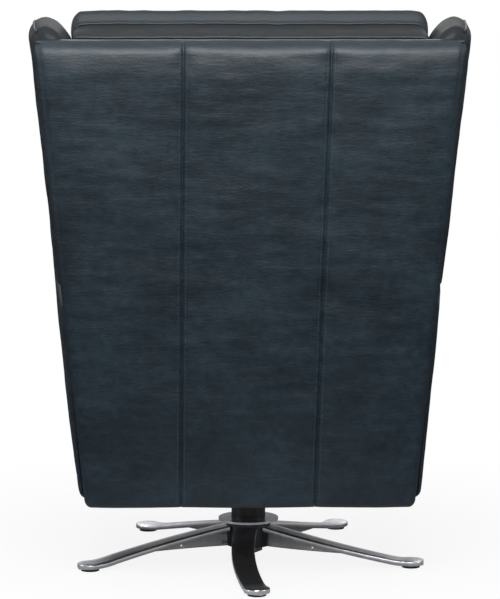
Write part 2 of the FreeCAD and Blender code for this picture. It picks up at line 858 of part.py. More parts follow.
def build_back(bush_holes):
    front = -rear_stack - post_depth
    inner = post_outside - post_width
    post = leaned(box(inner, post_outside, front, -rear_stack, post_bottom, post_top))
    save("back_posts", both_sides(post).cut(bush_holes))
    rails = [
        leaned(box(-inner, inner, front, -rear_stack, low, low + back_rail_height))
        for low in (low_rail_bottom, mid_rail_bottom, post_top - back_rail_height)
    ]
    save("back_rails", Part.makeCompound(rails))
    outline = [V(half_width(z) - board_edge, -rear_stack, z) for z in (board_edge, back_height - board_edge)]
    outline = outline + [V(-p.x, p.y, p.z) for p in reversed(outline)]
    board = Part.Face(Part.makePolygon(outline + outline[:1])).extrude(V(0, back_board, 0))
    save("back_board", leaned(board))
    save("back_top_roll", top_roll())
    spring = wave_spring(2 * inner + post_width, 0)
    spring.rotate(V(0, 0, 0), X, 90)
    springs = []
    for k in range(back_spring_count):
        copy = spring.copy()
        height = back_cushion_bottom + (back_cushion_top - back_cushion_bottom) * (k + 0.5) / back_spring_count
        copy.translate(V(-inner - post_width / 2, front - spring_wire / 2, height))
        springs.append(leaned(copy))
    save("back_springs", Part.makeCompound(springs))
    cover, foam = covered(outer_back_form)
    save("outer_back", leaned(cover))
    save("outer_back_foam", leaned(foam))
    cover, foam = covered(wing_form)
    save("wing_cover_left", cover)
    save("wing_cover_right", mirrored(cover))
    save("wing_foams", both_sides(foam))
    cover, foam = covered(back_cushion_form)
    save("back_cushion", cover)
    save("back_foam", foam)


def top_roll():
    """The leather-covered top of the back frame, between the wings."""
    front = -rear_stack - post_depth - 2
    wires = []
    for height, drawn in ((post_top, 0), (post_top + top_roll_height * 0.6, 1), (post_top + top_roll_height, 5)):
        half = half_width(height) - wing_thickness - 1 - drawn
        corners = [
            V(-half, front + drawn, height),
            V(half, front + drawn, height),
            V(half, -back_pad - drawn, height),
            V(-half, -back_pad - drawn, height),
        ]
        wires.append(Part.makePolygon(corners + corners[:1]))
    board = leaned(box(-500, 500, -rear_stack, -back_pad, post_top - 10, back_height - board_edge))
    return leaned(loft(wires)).cut(board)


def build_headrest():
    """The headrest hangs on two fixed plates and tilts forward on a pin through each."""
    y = -headrest_pivot_depth
    z = headrest_bottom - headrest_pivot_drop
    t = headrest_plate_thickness
    half = headrest_hinge_height / 2
    x = headrest_hinge_x
    side = headrest_foot_width / 2
    hinge = box(x, x + t, y, -rear_stack - post_depth, z - half, z + half)
    hinge = hinge.fuse(bar_x(half, y, z, x, x + t))
    foot_top = post_top - back_rail_height / 2
    foot = box(x - side, x + side, -rear_stack - post_depth - t, -rear_stack - post_depth, z - half, foot_top)
    pin = bar_x(headrest_pin_radius, y, z, x - 1, x + 2 * t + running_gap + 1)
    hole = bar_x(headrest_pin_radius + running_gap, y, z, x, x + 3 * t)
    save("headrest_hinges", leaned(both_sides(hinge.fuse(foot).cut(pin))))
    save("headrest_pins", leaned(both_sides(pin)))
    ear_x = x + t + hinge_side_gap
    ear = box(ear_x, ear_x + t, y - half, y + half, z, headrest_bottom + headrest_ear_height)
    ear = ear.fuse(bar_x(half, y, z, ear_x, ear_x + t)).cut(hole)
    low = headrest_bottom + headrest_plate_rise
    plate = box(-ear_x - t, ear_x + t, y - half, y - half + t, low, low + headrest_plate_height)
    core = plate.fuse([ear, mirrored(ear)])
    core = leaned(core)
    save("headrest_plate", core)
    cover, foam = covered(headrest_form)
    save("headrest_cushion", cover.cut(core))
    save("headrest_foam", foam.cut(core))


def build_gas_spring():
    """A locking gas spring: its cylinder swings on the chassis and its rod pushes the back."""
    dy = gas_rear_y - gas_front_y
    dz = gas_rear_z - gas_front_z
    span = math.hypot(dy, dz)
    tilt = math.degrees(math.atan2(dz, dy))
    along = V(0, 1, 0)
    half = gas_eye_width / 2
    neck = gas_eye_radius - 2
    eye = bar_x(gas_eye_radius, 0, 0, -half, half)
    body = rod(gas_cylinder_radius, V(0, neck, 0), along, gas_cylinder_length)
    bore = gas_cylinder_radius - gas_wall
    end = neck + gas_cylinder_length
    body = body.cut(rod(bore, V(0, neck + 12, 0), along, gas_cylinder_length - 18))
    body = body.cut(rod(gas_rod_radius + running_gap, V(0, end - 8, 0), along, 10))
    body = body.fuse(eye).cut(bar_x(gas_stud_radius + running_gap, 0, 0, -half, half))
    piston_start = neck + gas_cylinder_length - 18 - gas_stroke - gas_piston
    stem = rod(gas_rod_radius, V(0, piston_start, 0), along, span - neck - piston_start)
    piston = rod(bore - running_gap, V(0, piston_start, 0), along, gas_piston)
    rear_eye = bar_x(gas_eye_radius, span, 0, -half, half)
    stem = stem.fuse([piston, rear_eye]).cut(bar_x(gas_stud_radius + gas_rear_slack, span, 0, -half, half))
    for name, shape in (("gas_cylinder", body), ("gas_rod", stem)):
        shape.rotate(V(0, 0, 0), X, tilt)
        shape.translate(V(gas_x, gas_front_y, gas_front_z))
        save(name, shape)
    t = gas_bracket_thickness
    cheek_gap = half + 1
    cheeks = []
    for x0 in (gas_x - cheek_gap - t, gas_x + cheek_gap):
        cheek = box(x0, x0 + t, gas_rear_y, gas_rear_y + 60, gas_rear_z - 12, gas_rear_z + 12)
        cheeks.append(cheek.fuse(bar_x(12, gas_rear_y, gas_rear_z, x0, x0 + t)))
    cheeks.append(bar_x(gas_stud_radius, gas_rear_y, gas_rear_z, gas_x - cheek_gap, gas_x + cheek_gap))
    behind = leaned(box(gas_x - 40, gas_x + 40, -rear_stack - post_depth, 60, 0, 200))
    save("gas_bracket", cheeks[0].fuse(cheeks[1:]).cut(behind))


def build_footrest():
    """A board that flips out from under the seat front, with a toe board that unfolds below it."""
    y0 = rest_axis_y + rest_board_set_back
    y1 = y0 + rest_board_thickness
    toe_y = y1 + toe_gap
    toe_inner = toe_y + toe_board_thickness
    knuckle = toe_knuckle_radius
    axis = (toe_axis_y, toe_axis_z)

    def knuckles(places, shape, y_from, y_to, others):
        for x in others:
            room = bar_x(knuckle + 1, *axis, x - toe_knuckle_length / 2 - 1, x + toe_knuckle_length / 2 + 1)
            shape = shape.cut(room)
        for x in places:
            x0, x1 = x - toe_knuckle_length / 2, x + toe_knuckle_length / 2
            shape = shape.fuse(bar_x(knuckle, *axis, x0, x1))
            shape = shape.fuse(box(x0, x1, y_from, y_to, toe_axis_z, toe_axis_z + knuckle + 4))
        return shape

    outer_x = toe_half_width - toe_knuckle_length / 2
    main_places = (-outer_x, 0, outer_x)
    toe_places = (-outer_x / 2, outer_x / 2)
    pin = bar_x(toe_pin_radius, *axis, -rest_half_width - rest_plate_thickness,
                rest_half_width + rest_plate_thickness)
    board = box(-rest_half_width, rest_half_width, y0, y1, rest_bottom, rest_axis_z - 4)
    board = knuckles(main_places, board, y0, y1, toe_places).cut(pin)
    save("footrest_board", board)
    toe = box(-toe_half_width, toe_half_width, toe_y, toe_inner, toe_axis_z + 6, toe_axis_z + 6 + toe_length)
    toe = knuckles(toe_places, toe, toe_y, toe_inner, main_places)
    toe = toe.cut(bar_x(toe_pin_radius + running_gap, *axis, -rest_half_width, rest_half_width))
    save("toe_board", toe)
    save("toe_hinge_pin", pin)
    side = rest_plate_thickness
    neck = rest_plate_neck
    outline = [
        (rest_axis_y - neck, rest_axis_z - neck / 2),
        (rest_axis_y + 6, toe_axis_z + 70),
        (toe_axis_y - 16, toe_axis_z - 6),
        (toe_axis_y + 8, toe_axis_z - 6),
        (toe_axis_y + 8, toe_axis_z + 90),
        (rest_axis_y + neck, rest_axis_z + neck / 4),
    ]
    plate = plate_x(outline, rest_half_width, rest_half_width + side)
    plate = plate.fuse(bar_x(rest_plate_radius, rest_axis_y, rest_axis_z, rest_half_width, rest_half_width + side))
    plate = plate.cut(bar_x(rest_pin_radius + running_gap, rest_axis_y, rest_axis_z,
                            rest_half_width, rest_half_width + side))
    save("footrest_plates", both_sides(plate.cut(pin)))
    front = rest_axis_y - rest_pad_front
    half = rest_half_width - 2
    low = rest_bottom
    high = rest_axis_z + rest_round

    def laid(shape, y):
        """Stands a pillow up, with its crown towards the front."""
        shape.rotate(V(0, 0, 0), X, 90)
        shape.translate(V(0, y, 0))
        return shape

    rest = pillow(half, half, low, high, 0, y0 - front + rest_pad_crown, rest_edge, rest_pad_crown, 16, 2)
    save("footrest_pad", laid(rest, y0))
    toe_low = toe_axis_z + 10
    toe_pad_form = pillow(toe_half_width - 2, toe_half_width - 2, -toe_low - toe_length + 6, -toe_low,
                          0, toe_pad, toe_pad * 0.6, 3, 14, 2)
    toe_pad_form.rotate(V(0, 0, 0), X, -90)
    toe_pad_form.translate(V(0, toe_inner, 0))
    save("toe_pad", toe_pad_form)


def build_lever():
    """A paddle on the right arm's inner face that unlocks the back."""
    wall = -seat_half_width
    face = wall + bezel_thickness
    bezel = box(wall, face, lever_y - bezel_length / 2, lever_y + bezel_length / 2,
                lever_z - bezel_height / 2, lever_z + bezel_height / 2)
    corners = [e for e in bezel.Edges if abs(e.tangentAt(e.FirstParameter).x) > 0.9]
    bezel = bezel.makeFillet(8, corners)
    save("lever_bezel", bezel.cut(bar_x(lever_shaft_radius + running_gap, lever_y, lever_z, wall, face)))
    start = face + 0.4
    shaft = bar_x(lever_shaft_radius, lever_y, lever_z, wall - lever_shaft_length, start)
    hub = bar_x(lever_height * 0.7, lever_y, lever_z, start, start + lever_thickness)
    paddle = box(start, start + lever_thickness, lever_y - lever_length, lever_y,
                 lever_z - lever_height / 2, lever_z + lever_height / 2)
    corners = [
        e for e in paddle.Edges
        if abs(e.tangentAt(e.FirstParameter).x) > 0.9 and e.CenterOfMass.y < lever_y - lever_length / 2
    ]
    paddle = paddle.makeFillet(lever_height * 0.45, corners)
    save("release_lever", paddle.fuse([hub, shaft]))


os.makedirs("parts", exist_ok=True)
build_base()
plate_bolts = build_column()
build_chassis(plate_bolts)
build_seat()
build_arms()
bush_holes = build_pivot()
build_back(bush_holes)
build_headrest()
build_gas_spring()
build_footrest()
build_lever()
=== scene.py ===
import json
import math

import bpy
import numpy as np
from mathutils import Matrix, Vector, noise
from mathutils.bvhtree import BVHTree


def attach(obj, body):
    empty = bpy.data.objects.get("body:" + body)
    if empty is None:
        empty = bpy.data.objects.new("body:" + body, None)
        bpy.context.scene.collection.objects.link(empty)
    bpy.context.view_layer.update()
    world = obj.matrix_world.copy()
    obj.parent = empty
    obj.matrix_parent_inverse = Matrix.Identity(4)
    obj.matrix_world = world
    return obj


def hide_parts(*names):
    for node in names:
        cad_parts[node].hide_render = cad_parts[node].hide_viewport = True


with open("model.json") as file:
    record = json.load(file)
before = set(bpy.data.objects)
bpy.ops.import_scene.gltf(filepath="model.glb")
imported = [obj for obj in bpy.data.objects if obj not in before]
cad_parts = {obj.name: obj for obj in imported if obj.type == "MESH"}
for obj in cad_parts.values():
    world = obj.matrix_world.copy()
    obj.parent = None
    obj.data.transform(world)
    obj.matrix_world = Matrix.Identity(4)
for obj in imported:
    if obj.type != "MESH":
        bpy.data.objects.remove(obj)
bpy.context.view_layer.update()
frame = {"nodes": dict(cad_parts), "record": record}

# Star base swivel recliner, seen from behind. Metres; the sitter faces -Y.
nodes = frame["nodes"]

# The back is described upright, as x, n and t: n is 0 at its rear face and t runs up the lean
lean = {"angle": math.radians(8), "footY": 0.295, "footZ": 0.154}
back = {"height": 0.852, "halfBottom": 0.296, "spread": 0.0929, "pad": 0.024, "board": 0.008}
rearStack = back["pad"] + back["board"]


def leanPoints(points):
    # Leans an array of x, n, t points into place
    c = math.cos(lean["angle"])
    s = math.sin(lean["angle"])
    n = points[:, 1]
    t = points[:, 2]
    return np.stack([points[:, 0], lean["footY"] + n * c + t * s, lean["footZ"] - n * s + t * c], 1)


def backHalf(t):
    return back["halfBottom"] + back["spread"] * t


# Materials
def colour(text, alpha=1.0):
    # sRGB hex to linear
    parts = [int(text[k:k + 2], 16) / 255 for k in (1, 3, 5)]
    return tuple(c / 12.92 if c <= 0.04045 else ((c + 0.055) / 1.055) ** 2.4 for c in parts) + (alpha,)


def addNode(tree, kind, settings=None, inputs=None):
    node = tree.nodes.new(kind)
    for name, value in (settings or {}).items():
        setattr(node, name, value)
    for key, value in (inputs or {}).items():
        if isinstance(value, bpy.types.NodeSocket):
            tree.links.new(value, node.inputs[key])
        else:
            node.inputs[key].default_value = value
    return node


def newMaterial(name):
    material = bpy.data.materials.new(name)
    material.use_nodes = True
    tree = material.node_tree
    tree.nodes.clear()
    place = addNode(tree, "ShaderNodeTexCoord").outputs["Object"]
    return material, tree, place


def closeMaterial(tree, shader):
    addNode(tree, "ShaderNodeOutputMaterial", inputs={"Surface": shader.outputs[0]})


def ramp(tree, value, stops):
    node = addNode(tree, "ShaderNodeValToRGB", inputs={0: value})
    while len(node.color_ramp.elements) < len(stops):
        node.color_ramp.elements.new(0.5)
    for element, (place, shade) in zip(node.color_ramp.elements, stops):
        element.position = place
        element.color = shade if isinstance(shade, tuple) else (shade, shade, shade, 1)
    return node.outputs[0]


def perMetre(millimetres):
    # Texture scale for a pattern that repeats over this many millimetres
    return 1000 / millimetres


# Pull-up leather: waxed aniline hide, dark blue-black, clouded, paler and duller where it is pulled or rubbed,
# and darkened with painted shade where the shade mask is set
leatherLook = {
    "deep": "#0c161d", "mid": "#12212a", "pale": "#1d2e38", "rubbed": "#53616a", "roughness": (0.42, 0.57),
    "cloud": 95, "mottle": 14, "crease": 22, "scratch": 55, "pebble": 5.0, "grain": 1.9,
    # painted shade: a near-black colour, extra roughness and the strength of the darkening, used where the
    # shade mask is set
    "paintedShade": "#05090c", "paintedShadeDull": 0.26, "paintedShadeDepth": 0.75,
}


def leatherMaterial():
    material, tree, place = newMaterial("pullUpLeather")
    look = leatherLook
    cloud = addNode(tree, "ShaderNodeTexNoise", inputs={
        "Vector": place, "Scale": perMetre(look["cloud"]), "Detail": 5, "Roughness": 0.6}).outputs[0]
    mottle = addNode(tree, "ShaderNodeTexNoise", inputs={
        "Vector": place, "Scale": perMetre(look["mottle"]), "Detail": 8, "Roughness": 0.7}).outputs[0]
    both = addNode(tree, "ShaderNodeMath", {"operation": "MULTIPLY_ADD"}, {0: mottle, 1: 0.55, 2: -0.02})
    both = addNode(tree, "ShaderNodeMath", {"operation": "MULTIPLY_ADD"}, {
        0: cloud, 1: 0.52, 2: both.outputs[0]}).outputs[0]
    base = ramp(tree, both, [
        (0.3, colour(look["deep"])), (0.5, colour(look["mid"])), (0.72, colour(look["pale"]))])
    stretch = addNode(tree, "ShaderNodeMapping", inputs={"Vector": place, "Scale": (1, 1, 4.5)}).outputs[0]
    crease = addNode(tree, "ShaderNodeTexNoise", inputs={
        "Vector": stretch, "Scale": perMetre(look["crease"]), "Detail": 6, "Roughness": 0.62,
        "Distortion": 0.6}).outputs[0]
    rub = addNode(tree, "ShaderNodeAttribute", {"attribute_name": "wear"}).outputs["Fac"]
    rubNoise = addNode(tree, "ShaderNodeMath", {"operation": "MULTIPLY"}, {0: rub, 1: mottle})
    scratch = addNode(tree, "ShaderNodeTexNoise", inputs={
        "Vector": place, "Scale": perMetre(look["scratch"]), "Detail": 14, "Roughness": 0.86,
        "Distortion": 1.4}).outputs[0]
    scuff = ramp(tree, scratch, [(0.68, 0.0), (0.8, 0.35)])
    marks = addNode(tree, "ShaderNodeMath", {"operation": "MULTIPLY_ADD", "use_clamp": True}, {
        0: rubNoise.outputs[0], 1: 1.3, 2: scuff})
    wearAndPaintedShade = addNode(tree, "ShaderNodeMix", {"data_type": "RGBA"}, {
        0: marks.outputs[0], 6: base, 7: colour(look["rubbed"])}).outputs[2]
    low, high = look["roughness"]
    rough = addNode(tree, "ShaderNodeMapRange", inputs={0: both, 1: 0.25, 2: 0.75, 3: low, 4: high})
    # painted shade: where the mask is set the colour is darkened towards near-black and the roughness raised,
    # standing in for shade
    paintedShade = addNode(tree, "ShaderNodeAttribute", {"attribute_name": "paintedShade"}).outputs["Fac"]
    rough = addNode(tree, "ShaderNodeMath", {"operation": "MULTIPLY_ADD", "use_clamp": True}, {
        0: paintedShade, 1: look["paintedShadeDull"], 2: rough.outputs[0]})
    depth = addNode(tree, "ShaderNodeMath", {"operation": "MULTIPLY"}, {0: paintedShade, 1: look["paintedShadeDepth"]})
    wearAndPaintedShade = addNode(tree, "ShaderNodeMix", {"data_type": "RGBA"}, {
        0: depth.outputs[0], 6: wearAndPaintedShade, 7: colour(look["paintedShade"])}).outputs[2]
    grain = addNode(tree, "ShaderNodeTexVoronoi", {"feature": "F1"}, {
        "Vector": place, "Scale": perMetre(look["grain"])}).outputs["Distance"]
    pebble = addNode(tree, "ShaderNodeTexNoise", inputs={
        "Vector": place, "Scale": perMetre(look["pebble"]), "Detail": 3}).outputs[0]
    bump = addNode(tree, "ShaderNodeBump", inputs={"Strength": 0.5, "Distance": 0.0012, "Height": crease})
    bump = addNode(tree, "ShaderNodeBump", inputs={
        "Strength": 0.35, "Distance": 0.0005, "Height": pebble, "Normal": bump.outputs[0]})
    # the real grain is finer than a pixel, so it is drawn at about twice its size
    bump = addNode(tree, "ShaderNodeBump", inputs={
        "Strength": 0.25, "Distance": 0.0003, "Height": grain, "Normal": bump.outputs[0]})
    shader = addNode(tree, "ShaderNodeBsdfPrincipled", inputs={
        "Base Color": wearAndPaintedShade, "Roughness": rough.outputs[0], "IOR": 1.5, "Specular IOR Level": 0.5,
        "Coat Weight": 0.12, "Coat Roughness": 0.32, "Normal": bump.outputs[0]})
    closeMaterial(tree, shader)
    return material


def metalMaterial(name, shade, roughness, grit, bumpHeight, metallic=1.0, spread=0.06):
    # Grit is the width in millimetres of the marks that its polishing, casting or coating leaves
    material, tree, place = newMaterial(name)
    fine = addNode(tree, "ShaderNodeTexNoise", inputs={
        "Vector": place, "Scale": perMetre(grit), "Detail": 6, "Roughness": 0.65}).outputs[0]
    broad = addNode(tree, "ShaderNodeTexNoise", inputs={
        "Vector": place, "Scale": perMetre(grit * 14), "Detail": 4}).outputs[0]
    low = tuple(c * 0.82 for c in colour(shade)[:3]) + (1,)
    tint = ramp(tree, broad, [(0.3, low), (0.65, colour(shade))])
    rough = addNode(tree, "ShaderNodeMapRange", inputs={
        0: fine, 1: 0.3, 2: 0.7, 3: roughness - spread, 4: roughness + spread})
    bump = addNode(tree, "ShaderNodeBump", inputs={"Strength": 0.6, "Distance": bumpHeight, "Height": fine})
    shader = addNode(tree, "ShaderNodeBsdfPrincipled", inputs={
        "Base Color": tint, "Metallic": metallic, "Roughness": rough.outputs[0], "Normal": bump.outputs[0]})
    closeMaterial(tree, shader)
    return material


def plasticMaterial(name, shade, roughness):
    # Moulded plastic or thread: an even colour with a faint spark-eroded texture
    material, tree, place = newMaterial(name)
    speck = addNode(tree, "ShaderNodeTexNoise", inputs={
        "Vector": place, "Scale": perMetre(0.9), "Detail": 3}).outputs[0]
    low = tuple(c * 0.8 for c in colour(shade)[:3]) + (1,)
    tint = ramp(tree, speck, [(0.3, low), (0.7, colour(shade))])
    bump = addNode(tree, "ShaderNodeBump", inputs={"Strength": 0.4, "Distance": 0.0002, "Height": speck})
    shader = addNode(tree, "ShaderNodeBsdfPrincipled", inputs={
        "Base Color": tint, "Roughness": roughness, "Normal": bump.outputs[0]})
    closeMaterial(tree, shader)
    return material


def woodMaterial():
    # Sawn poplar: growth rings cut lengthwise, with saw marks
    material, tree, place = newMaterial("sawnPoplar")
    flow = addNode(tree, "ShaderNodeMapping", inputs={"Vector": place, "Scale": (1, 0.16, 1)}).outputs[0]
    figure = addNode(tree, "ShaderNodeTexNoise", inputs={
        "Vector": flow, "Scale": perMetre(9), "Detail": 8, "Roughness": 0.6, "Distortion": 1.2}).outputs[0]
    pore = addNode(tree, "ShaderNodeTexNoise", inputs={
        "Vector": flow, "Scale": perMetre(1.6), "Detail": 4}).outputs[0]
    base = ramp(tree, figure, [(0.3, colour("#a98556")), (0.5, colour("#c7a473")), (0.7, colour("#d6b98b"))])
    bump = addNode(tree, "ShaderNodeBump", inputs={"Strength": 0.5, "Distance": 0.0004, "Height": pore})
    shader = addNode(tree, "ShaderNodeBsdfPrincipled", inputs={
        "Base Color": base, "Roughness": 0.62, "Normal": bump.outputs[0]})
    closeMaterial(tree, shader)
    return material


leather = leatherMaterial()
thread = plasticMaterial("bondedThread", "#39444c", 0.55)
polishedAluminium = metalMaterial("polishedAluminium", "#d9dbe0", 0.31, 1.4, 0.00012)
hubCasting = metalMaterial("castHub", "#43464a", 0.42, 1.8, 0.0003, metallic=0.85)
zincSteel = metalMaterial("zincSteel", "#a9acb0", 0.3, 0.8, 0.0001)
blackSteel = metalMaterial("powderCoatedSteel", "#17181a", 0.42, 1.2, 0.00015, metallic=0.0)
blackPlastic = plasticMaterial("mouldedBlackPlastic", "#161718", 0.5)
bearingPlastic = plasticMaterial("bearingAcetal", "#232426", 0.4)
wood = woodMaterial()
foam = plasticMaterial("cutFoam", "#e8dfbd", 0.9)
slotMaterials = {
    "polished_aluminium": polishedAluminium, "hub_casting": hubCasting, "zinc_steel": zincSteel,
    "black_steel": blackSteel, "black_plastic": blackPlastic, "bearing_plastic": bearingPlastic,
    "frame_wood": wood, "leather": leather, "foam": foam,
}
nodeSlots = {row["node"]: row["material_slot"] for row in frame["record"]["subparts"]}
for nodeName, obj in nodes.items():
    obj.data.materials.clear()
    obj.data.materials.append(slotMaterials[nodeSlots[nodeName]])
print("materials done")


# Mesh helpers
def gridLines(low, high, roundLow, roundHigh, step, bends=4):
    # Grid places along one side of a rounded box: evenly turned through each round, evenly spaced between
    rounds = [math.tan(math.radians(45 * k / bends)) for k in range(bends, 0, -1)]
    first = [low + roundLow - roundLow * r for r in rounds]
    last = [high - roundHigh + roundHigh * r for r in reversed(rounds)]
    start = low + roundLow
    span = high - roundHigh - start
    count = max(1, round(span / step))
    middle = [start + span * k / count for k in range(count + 1)]
    return first + middle + last


def mergeLines(lines, extra, room=0.0011):
    # Adds wanted grid places, and drops the even ones that crowd them
    kept = [p for p in lines if min(abs(p - e) for e in extra) > room * 2.2]
    return sorted(kept + list(extra))


def roundedShell(low, high, roundLow, roundHigh, step, extra=None):
    # The surface of a box with rounded edges: its points, outward directions, faces and grid ids
    lines = [gridLines(low[a], high[a], roundLow[a], roundHigh[a], step[a]) for a in range(3)]
    for axis, places in (extra or {}).items():
        lines[axis] = mergeLines(lines[axis], places)
    counts = [len(line) - 1 for line in lines]
    ids = {}
    cube = []

    def vertex(key):
        if key not in ids:
            ids[key] = len(cube)
            cube.append([lines[a][key[a]] for a in range(3)])
        return ids[key]

    faces = []
    for a in range(3):
        b, c = (a + 1) % 3, (a + 2) % 3
        for i in range(counts[b]):
            for j in range(counts[c]):
                for end in (0, counts[a]):
                    corners = []
                    for di, dj in ((0, 0), (1, 0), (1, 1), (0, 1)):
                        key = [0, 0, 0]
                        key[a], key[b], key[c] = end, i + di, j + dj
                        corners.append(vertex(tuple(key)))
                    faces.append(corners if end else corners[::-1])
    cube = np.array(cube)
    lo, hi = np.array(low), np.array(high)
    rl, rh = np.array(roundLow), np.array(roundHigh)
    inner = np.clip(cube, lo + rl, hi - rh)
    radius = np.where(cube < inner, rl, rh)
    reach = (cube - inner) / np.maximum(radius, 1e-9)
    length = np.linalg.norm(reach, axis=1)[:, None]
    outward = reach / length
    points = inner + outward * radius
    return {"points": points, "outward": outward, "faces": faces, "ids": ids, "counts": counts,
            "flat": (cube - lo) / (hi - lo)}


def placed(name, data):
    # Puts a mesh, curve, light or camera into the scene
    obj = bpy.data.objects.new(name, data)
    bpy.context.scene.collection.objects.link(obj)
    return obj


def makePiece(name, points, faces, material):
    mesh = bpy.data.meshes.new(name)
    mesh.from_pydata([tuple(p) for p in points], [], faces)
    mesh.materials.append(material)
    mesh.shade_smooth()
    return placed(name, mesh)


def readPoints(obj):
    co = np.empty(len(obj.data.vertices) * 3)
    obj.data.vertices.foreach_get("co", co)
    return co.reshape(-1, 3)


def writePoints(obj, points):
    obj.data.vertices.foreach_set("co", np.asarray(points, float).ravel())
    obj.data.update()


def readNormals(obj):
    normals = np.empty(len(obj.data.vertices) * 3)
    obj.data.vertices.foreach_get("normal", normals)
    return normals.reshape(-1, 3)


def edgeTable(obj):
    pairs = np.empty(len(obj.data.edges) * 2, int)
    obj.data.edges.foreach_get("vertices", pairs)
    return pairs.reshape(-1, 2)


def neighbourMean(values, pairs):
    total = np.zeros_like(values)
    count = np.zeros(len(values))
    for a, b in ((0, 1), (1, 0)):
        np.add.at(total, pairs[:, a], values[pairs[:, b]])
        np.add.at(count, pairs[:, a], 1)
    shape = (-1,) + (1,) * (values.ndim - 1)
    return total / np.maximum(count, 1).reshape(shape)


def smooth(obj, share):
    points = readPoints(obj)
    writePoints(obj, points + (neighbourMean(points, edgeTable(obj)) - points) * share)


def bakedMesh(obj):
    # The object's mesh with its modifiers applied
    depsgraph = bpy.context.evaluated_depsgraph_get()
    return bpy.data.meshes.new_from_object(obj.evaluated_get(depsgraph))


def subdivide(obj):
    # Applies one subdivision, so that the piece is a plain mesh
    sub = obj.modifiers.new("fine", "SUBSURF")
    sub.levels = 1
    sub.render_levels = 1
    mesh = bakedMesh(obj)
    obj.modifiers.clear()
    old = obj.data
    obj.data = mesh
    mesh.name = obj.name
    bpy.data.meshes.remove(old)
    mesh.shade_smooth()


def markWear(obj):
    # Ridges stand proud of their neighbours: there the wax is rubbed and the leather paler
    points = readPoints(obj)
    pairs = edgeTable(obj)
    lengths = np.linalg.norm(points[pairs[:, 0]] - points[pairs[:, 1]], axis=1)
    near = np.zeros(len(points))
    count = np.zeros(len(points))
    for side in (0, 1):
        np.add.at(near, pairs[:, side], lengths)
        np.add.at(count, pairs[:, side], 1)
    proud = points - neighbourMean(points, pairs)
    ridge = (proud * readNormals(obj)).sum(1) * count / np.maximum(near, 1e-9)
    for _ in range(4):
        ridge = ridge * 0.4 + neighbourMean(ridge, pairs) * 0.6
    attribute = obj.data.attributes.new("wear", "FLOAT", "POINT")
    attribute.data.foreach_set("value", np.clip(ridge - 0.02, 0, 1).astype(np.float32))


def markPaintedShade(obj, rule):
    # rule takes x, n and t of the upright back, and says how much painted shade a place gets
    place = readPoints(obj) - np.array([0, lean["footY"], lean["footZ"]])
    c = math.cos(lean["angle"])
    s = math.sin(lean["angle"])
    values = rule(place[:, 0], place[:, 1] * c - place[:, 2] * s, place[:, 1] * s + place[:, 2] * c)
    attribute = obj.data.attributes.new("paintedShade", "FLOAT", "POINT")
    attribute.data.foreach_set("value", np.clip(values, 0, 1).astype(np.float32))


def noiseField(points, scale, seed, octaves=3):
    # Smooth noise from -1 to 1, with features about 1/scale metres wide
    offset = Vector((seed * 7.31, seed * 3.17, seed * 5.93))
    return np.array([
        noise.fractal(Vector(p) * scale + offset, 1.0, 2.0, octaves, noise_basis="PERLIN_ORIGINAL")
        for p in points])


def shellPath(points, shell, keys):
    return [Vector(points[shell["ids"][key]]) for key in keys]


def surfaceTree(points, faces):
    return BVHTree.FromPolygons([Vector(p) for p in points], faces)


def landOn(tree, start, direction, proud=0.0):
    # Where a line meets a surface, stood off by a little
    hit = tree.ray_cast(Vector(start), Vector(direction).normalized())[0]
    return (hit if hit is not None else Vector(start)) - Vector(direction).normalized() * proud


def rimKeys(shell, axis, level):
    # Grid keys round the box at one level of an axis, in order
    b, c = [(axis + 1) % 3, (axis + 2) % 3]
    nb, nc = shell["counts"][b], shell["counts"][c]
    ring = [(i, 0) for i in range(nb)] + [(nb, j) for j in range(nc)]
    ring += [(i, nc) for i in range(nb, 0, -1)] + [(0, j) for j in range(nc, 0, -1)]
    keys = []
    for i, j in ring:
        key = [0, 0, 0]
        key[axis], key[b], key[c] = level, i, j
        keys.append(tuple(key))
    return keys


# What follows a path: welts and stitches, grown by geometry nodes along poly curves
def nodeTree(name, sizes):
    tree = bpy.data.node_groups.new(name, "GeometryNodeTree")
    tree.interface.new_socket("Path", in_out="INPUT", socket_type="NodeSocketGeometry")
    for label, value in sizes.items():
        socket = tree.interface.new_socket(label, in_out="INPUT", socket_type="NodeSocketFloat")
        socket.default_value = value
    tree.interface.new_socket("Finish", in_out="INPUT", socket_type="NodeSocketMaterial")
    tree.interface.new_socket("Mesh", in_out="OUTPUT", socket_type="NodeSocketGeometry")
    start = addNode(tree, "NodeGroupInput")
    return tree, start


def closeTree(tree, start, shape):
    whole = addNode(tree, "GeometryNodeRealizeInstances", inputs={0: shape})
    dressed = addNode(tree, "GeometryNodeSetMaterial", inputs={
        "Geometry": whole.outputs[0], "Material": start.outputs["Finish"]})
    addNode(tree, "NodeGroupOutput", inputs={0: dressed.outputs[0]})


def weltTree():
    tree, start = nodeTree("weltAlongPath", {"Radius": 0.003, "Spacing": 0.004})
    path = addNode(tree, "GeometryNodeResampleCurve", {"mode": "LENGTH"}, {
        "Curve": start.outputs["Path"], "Length": start.outputs["Spacing"]})
    ring = addNode(tree, "GeometryNodeCurvePrimitiveCircle", inputs={
        "Resolution": 10, "Radius": start.outputs["Radius"]})
    tube = addNode(tree, "GeometryNodeCurveToMesh", inputs={
        "Curve": path.outputs[0], "Profile Curve": ring.outputs[0], "Fill Caps": True})
    round_ = addNode(tree, "GeometryNodeSetShadeSmooth", inputs={0: tube.outputs[0]})
    closeTree(tree, start, round_.outputs[0])
    return tree


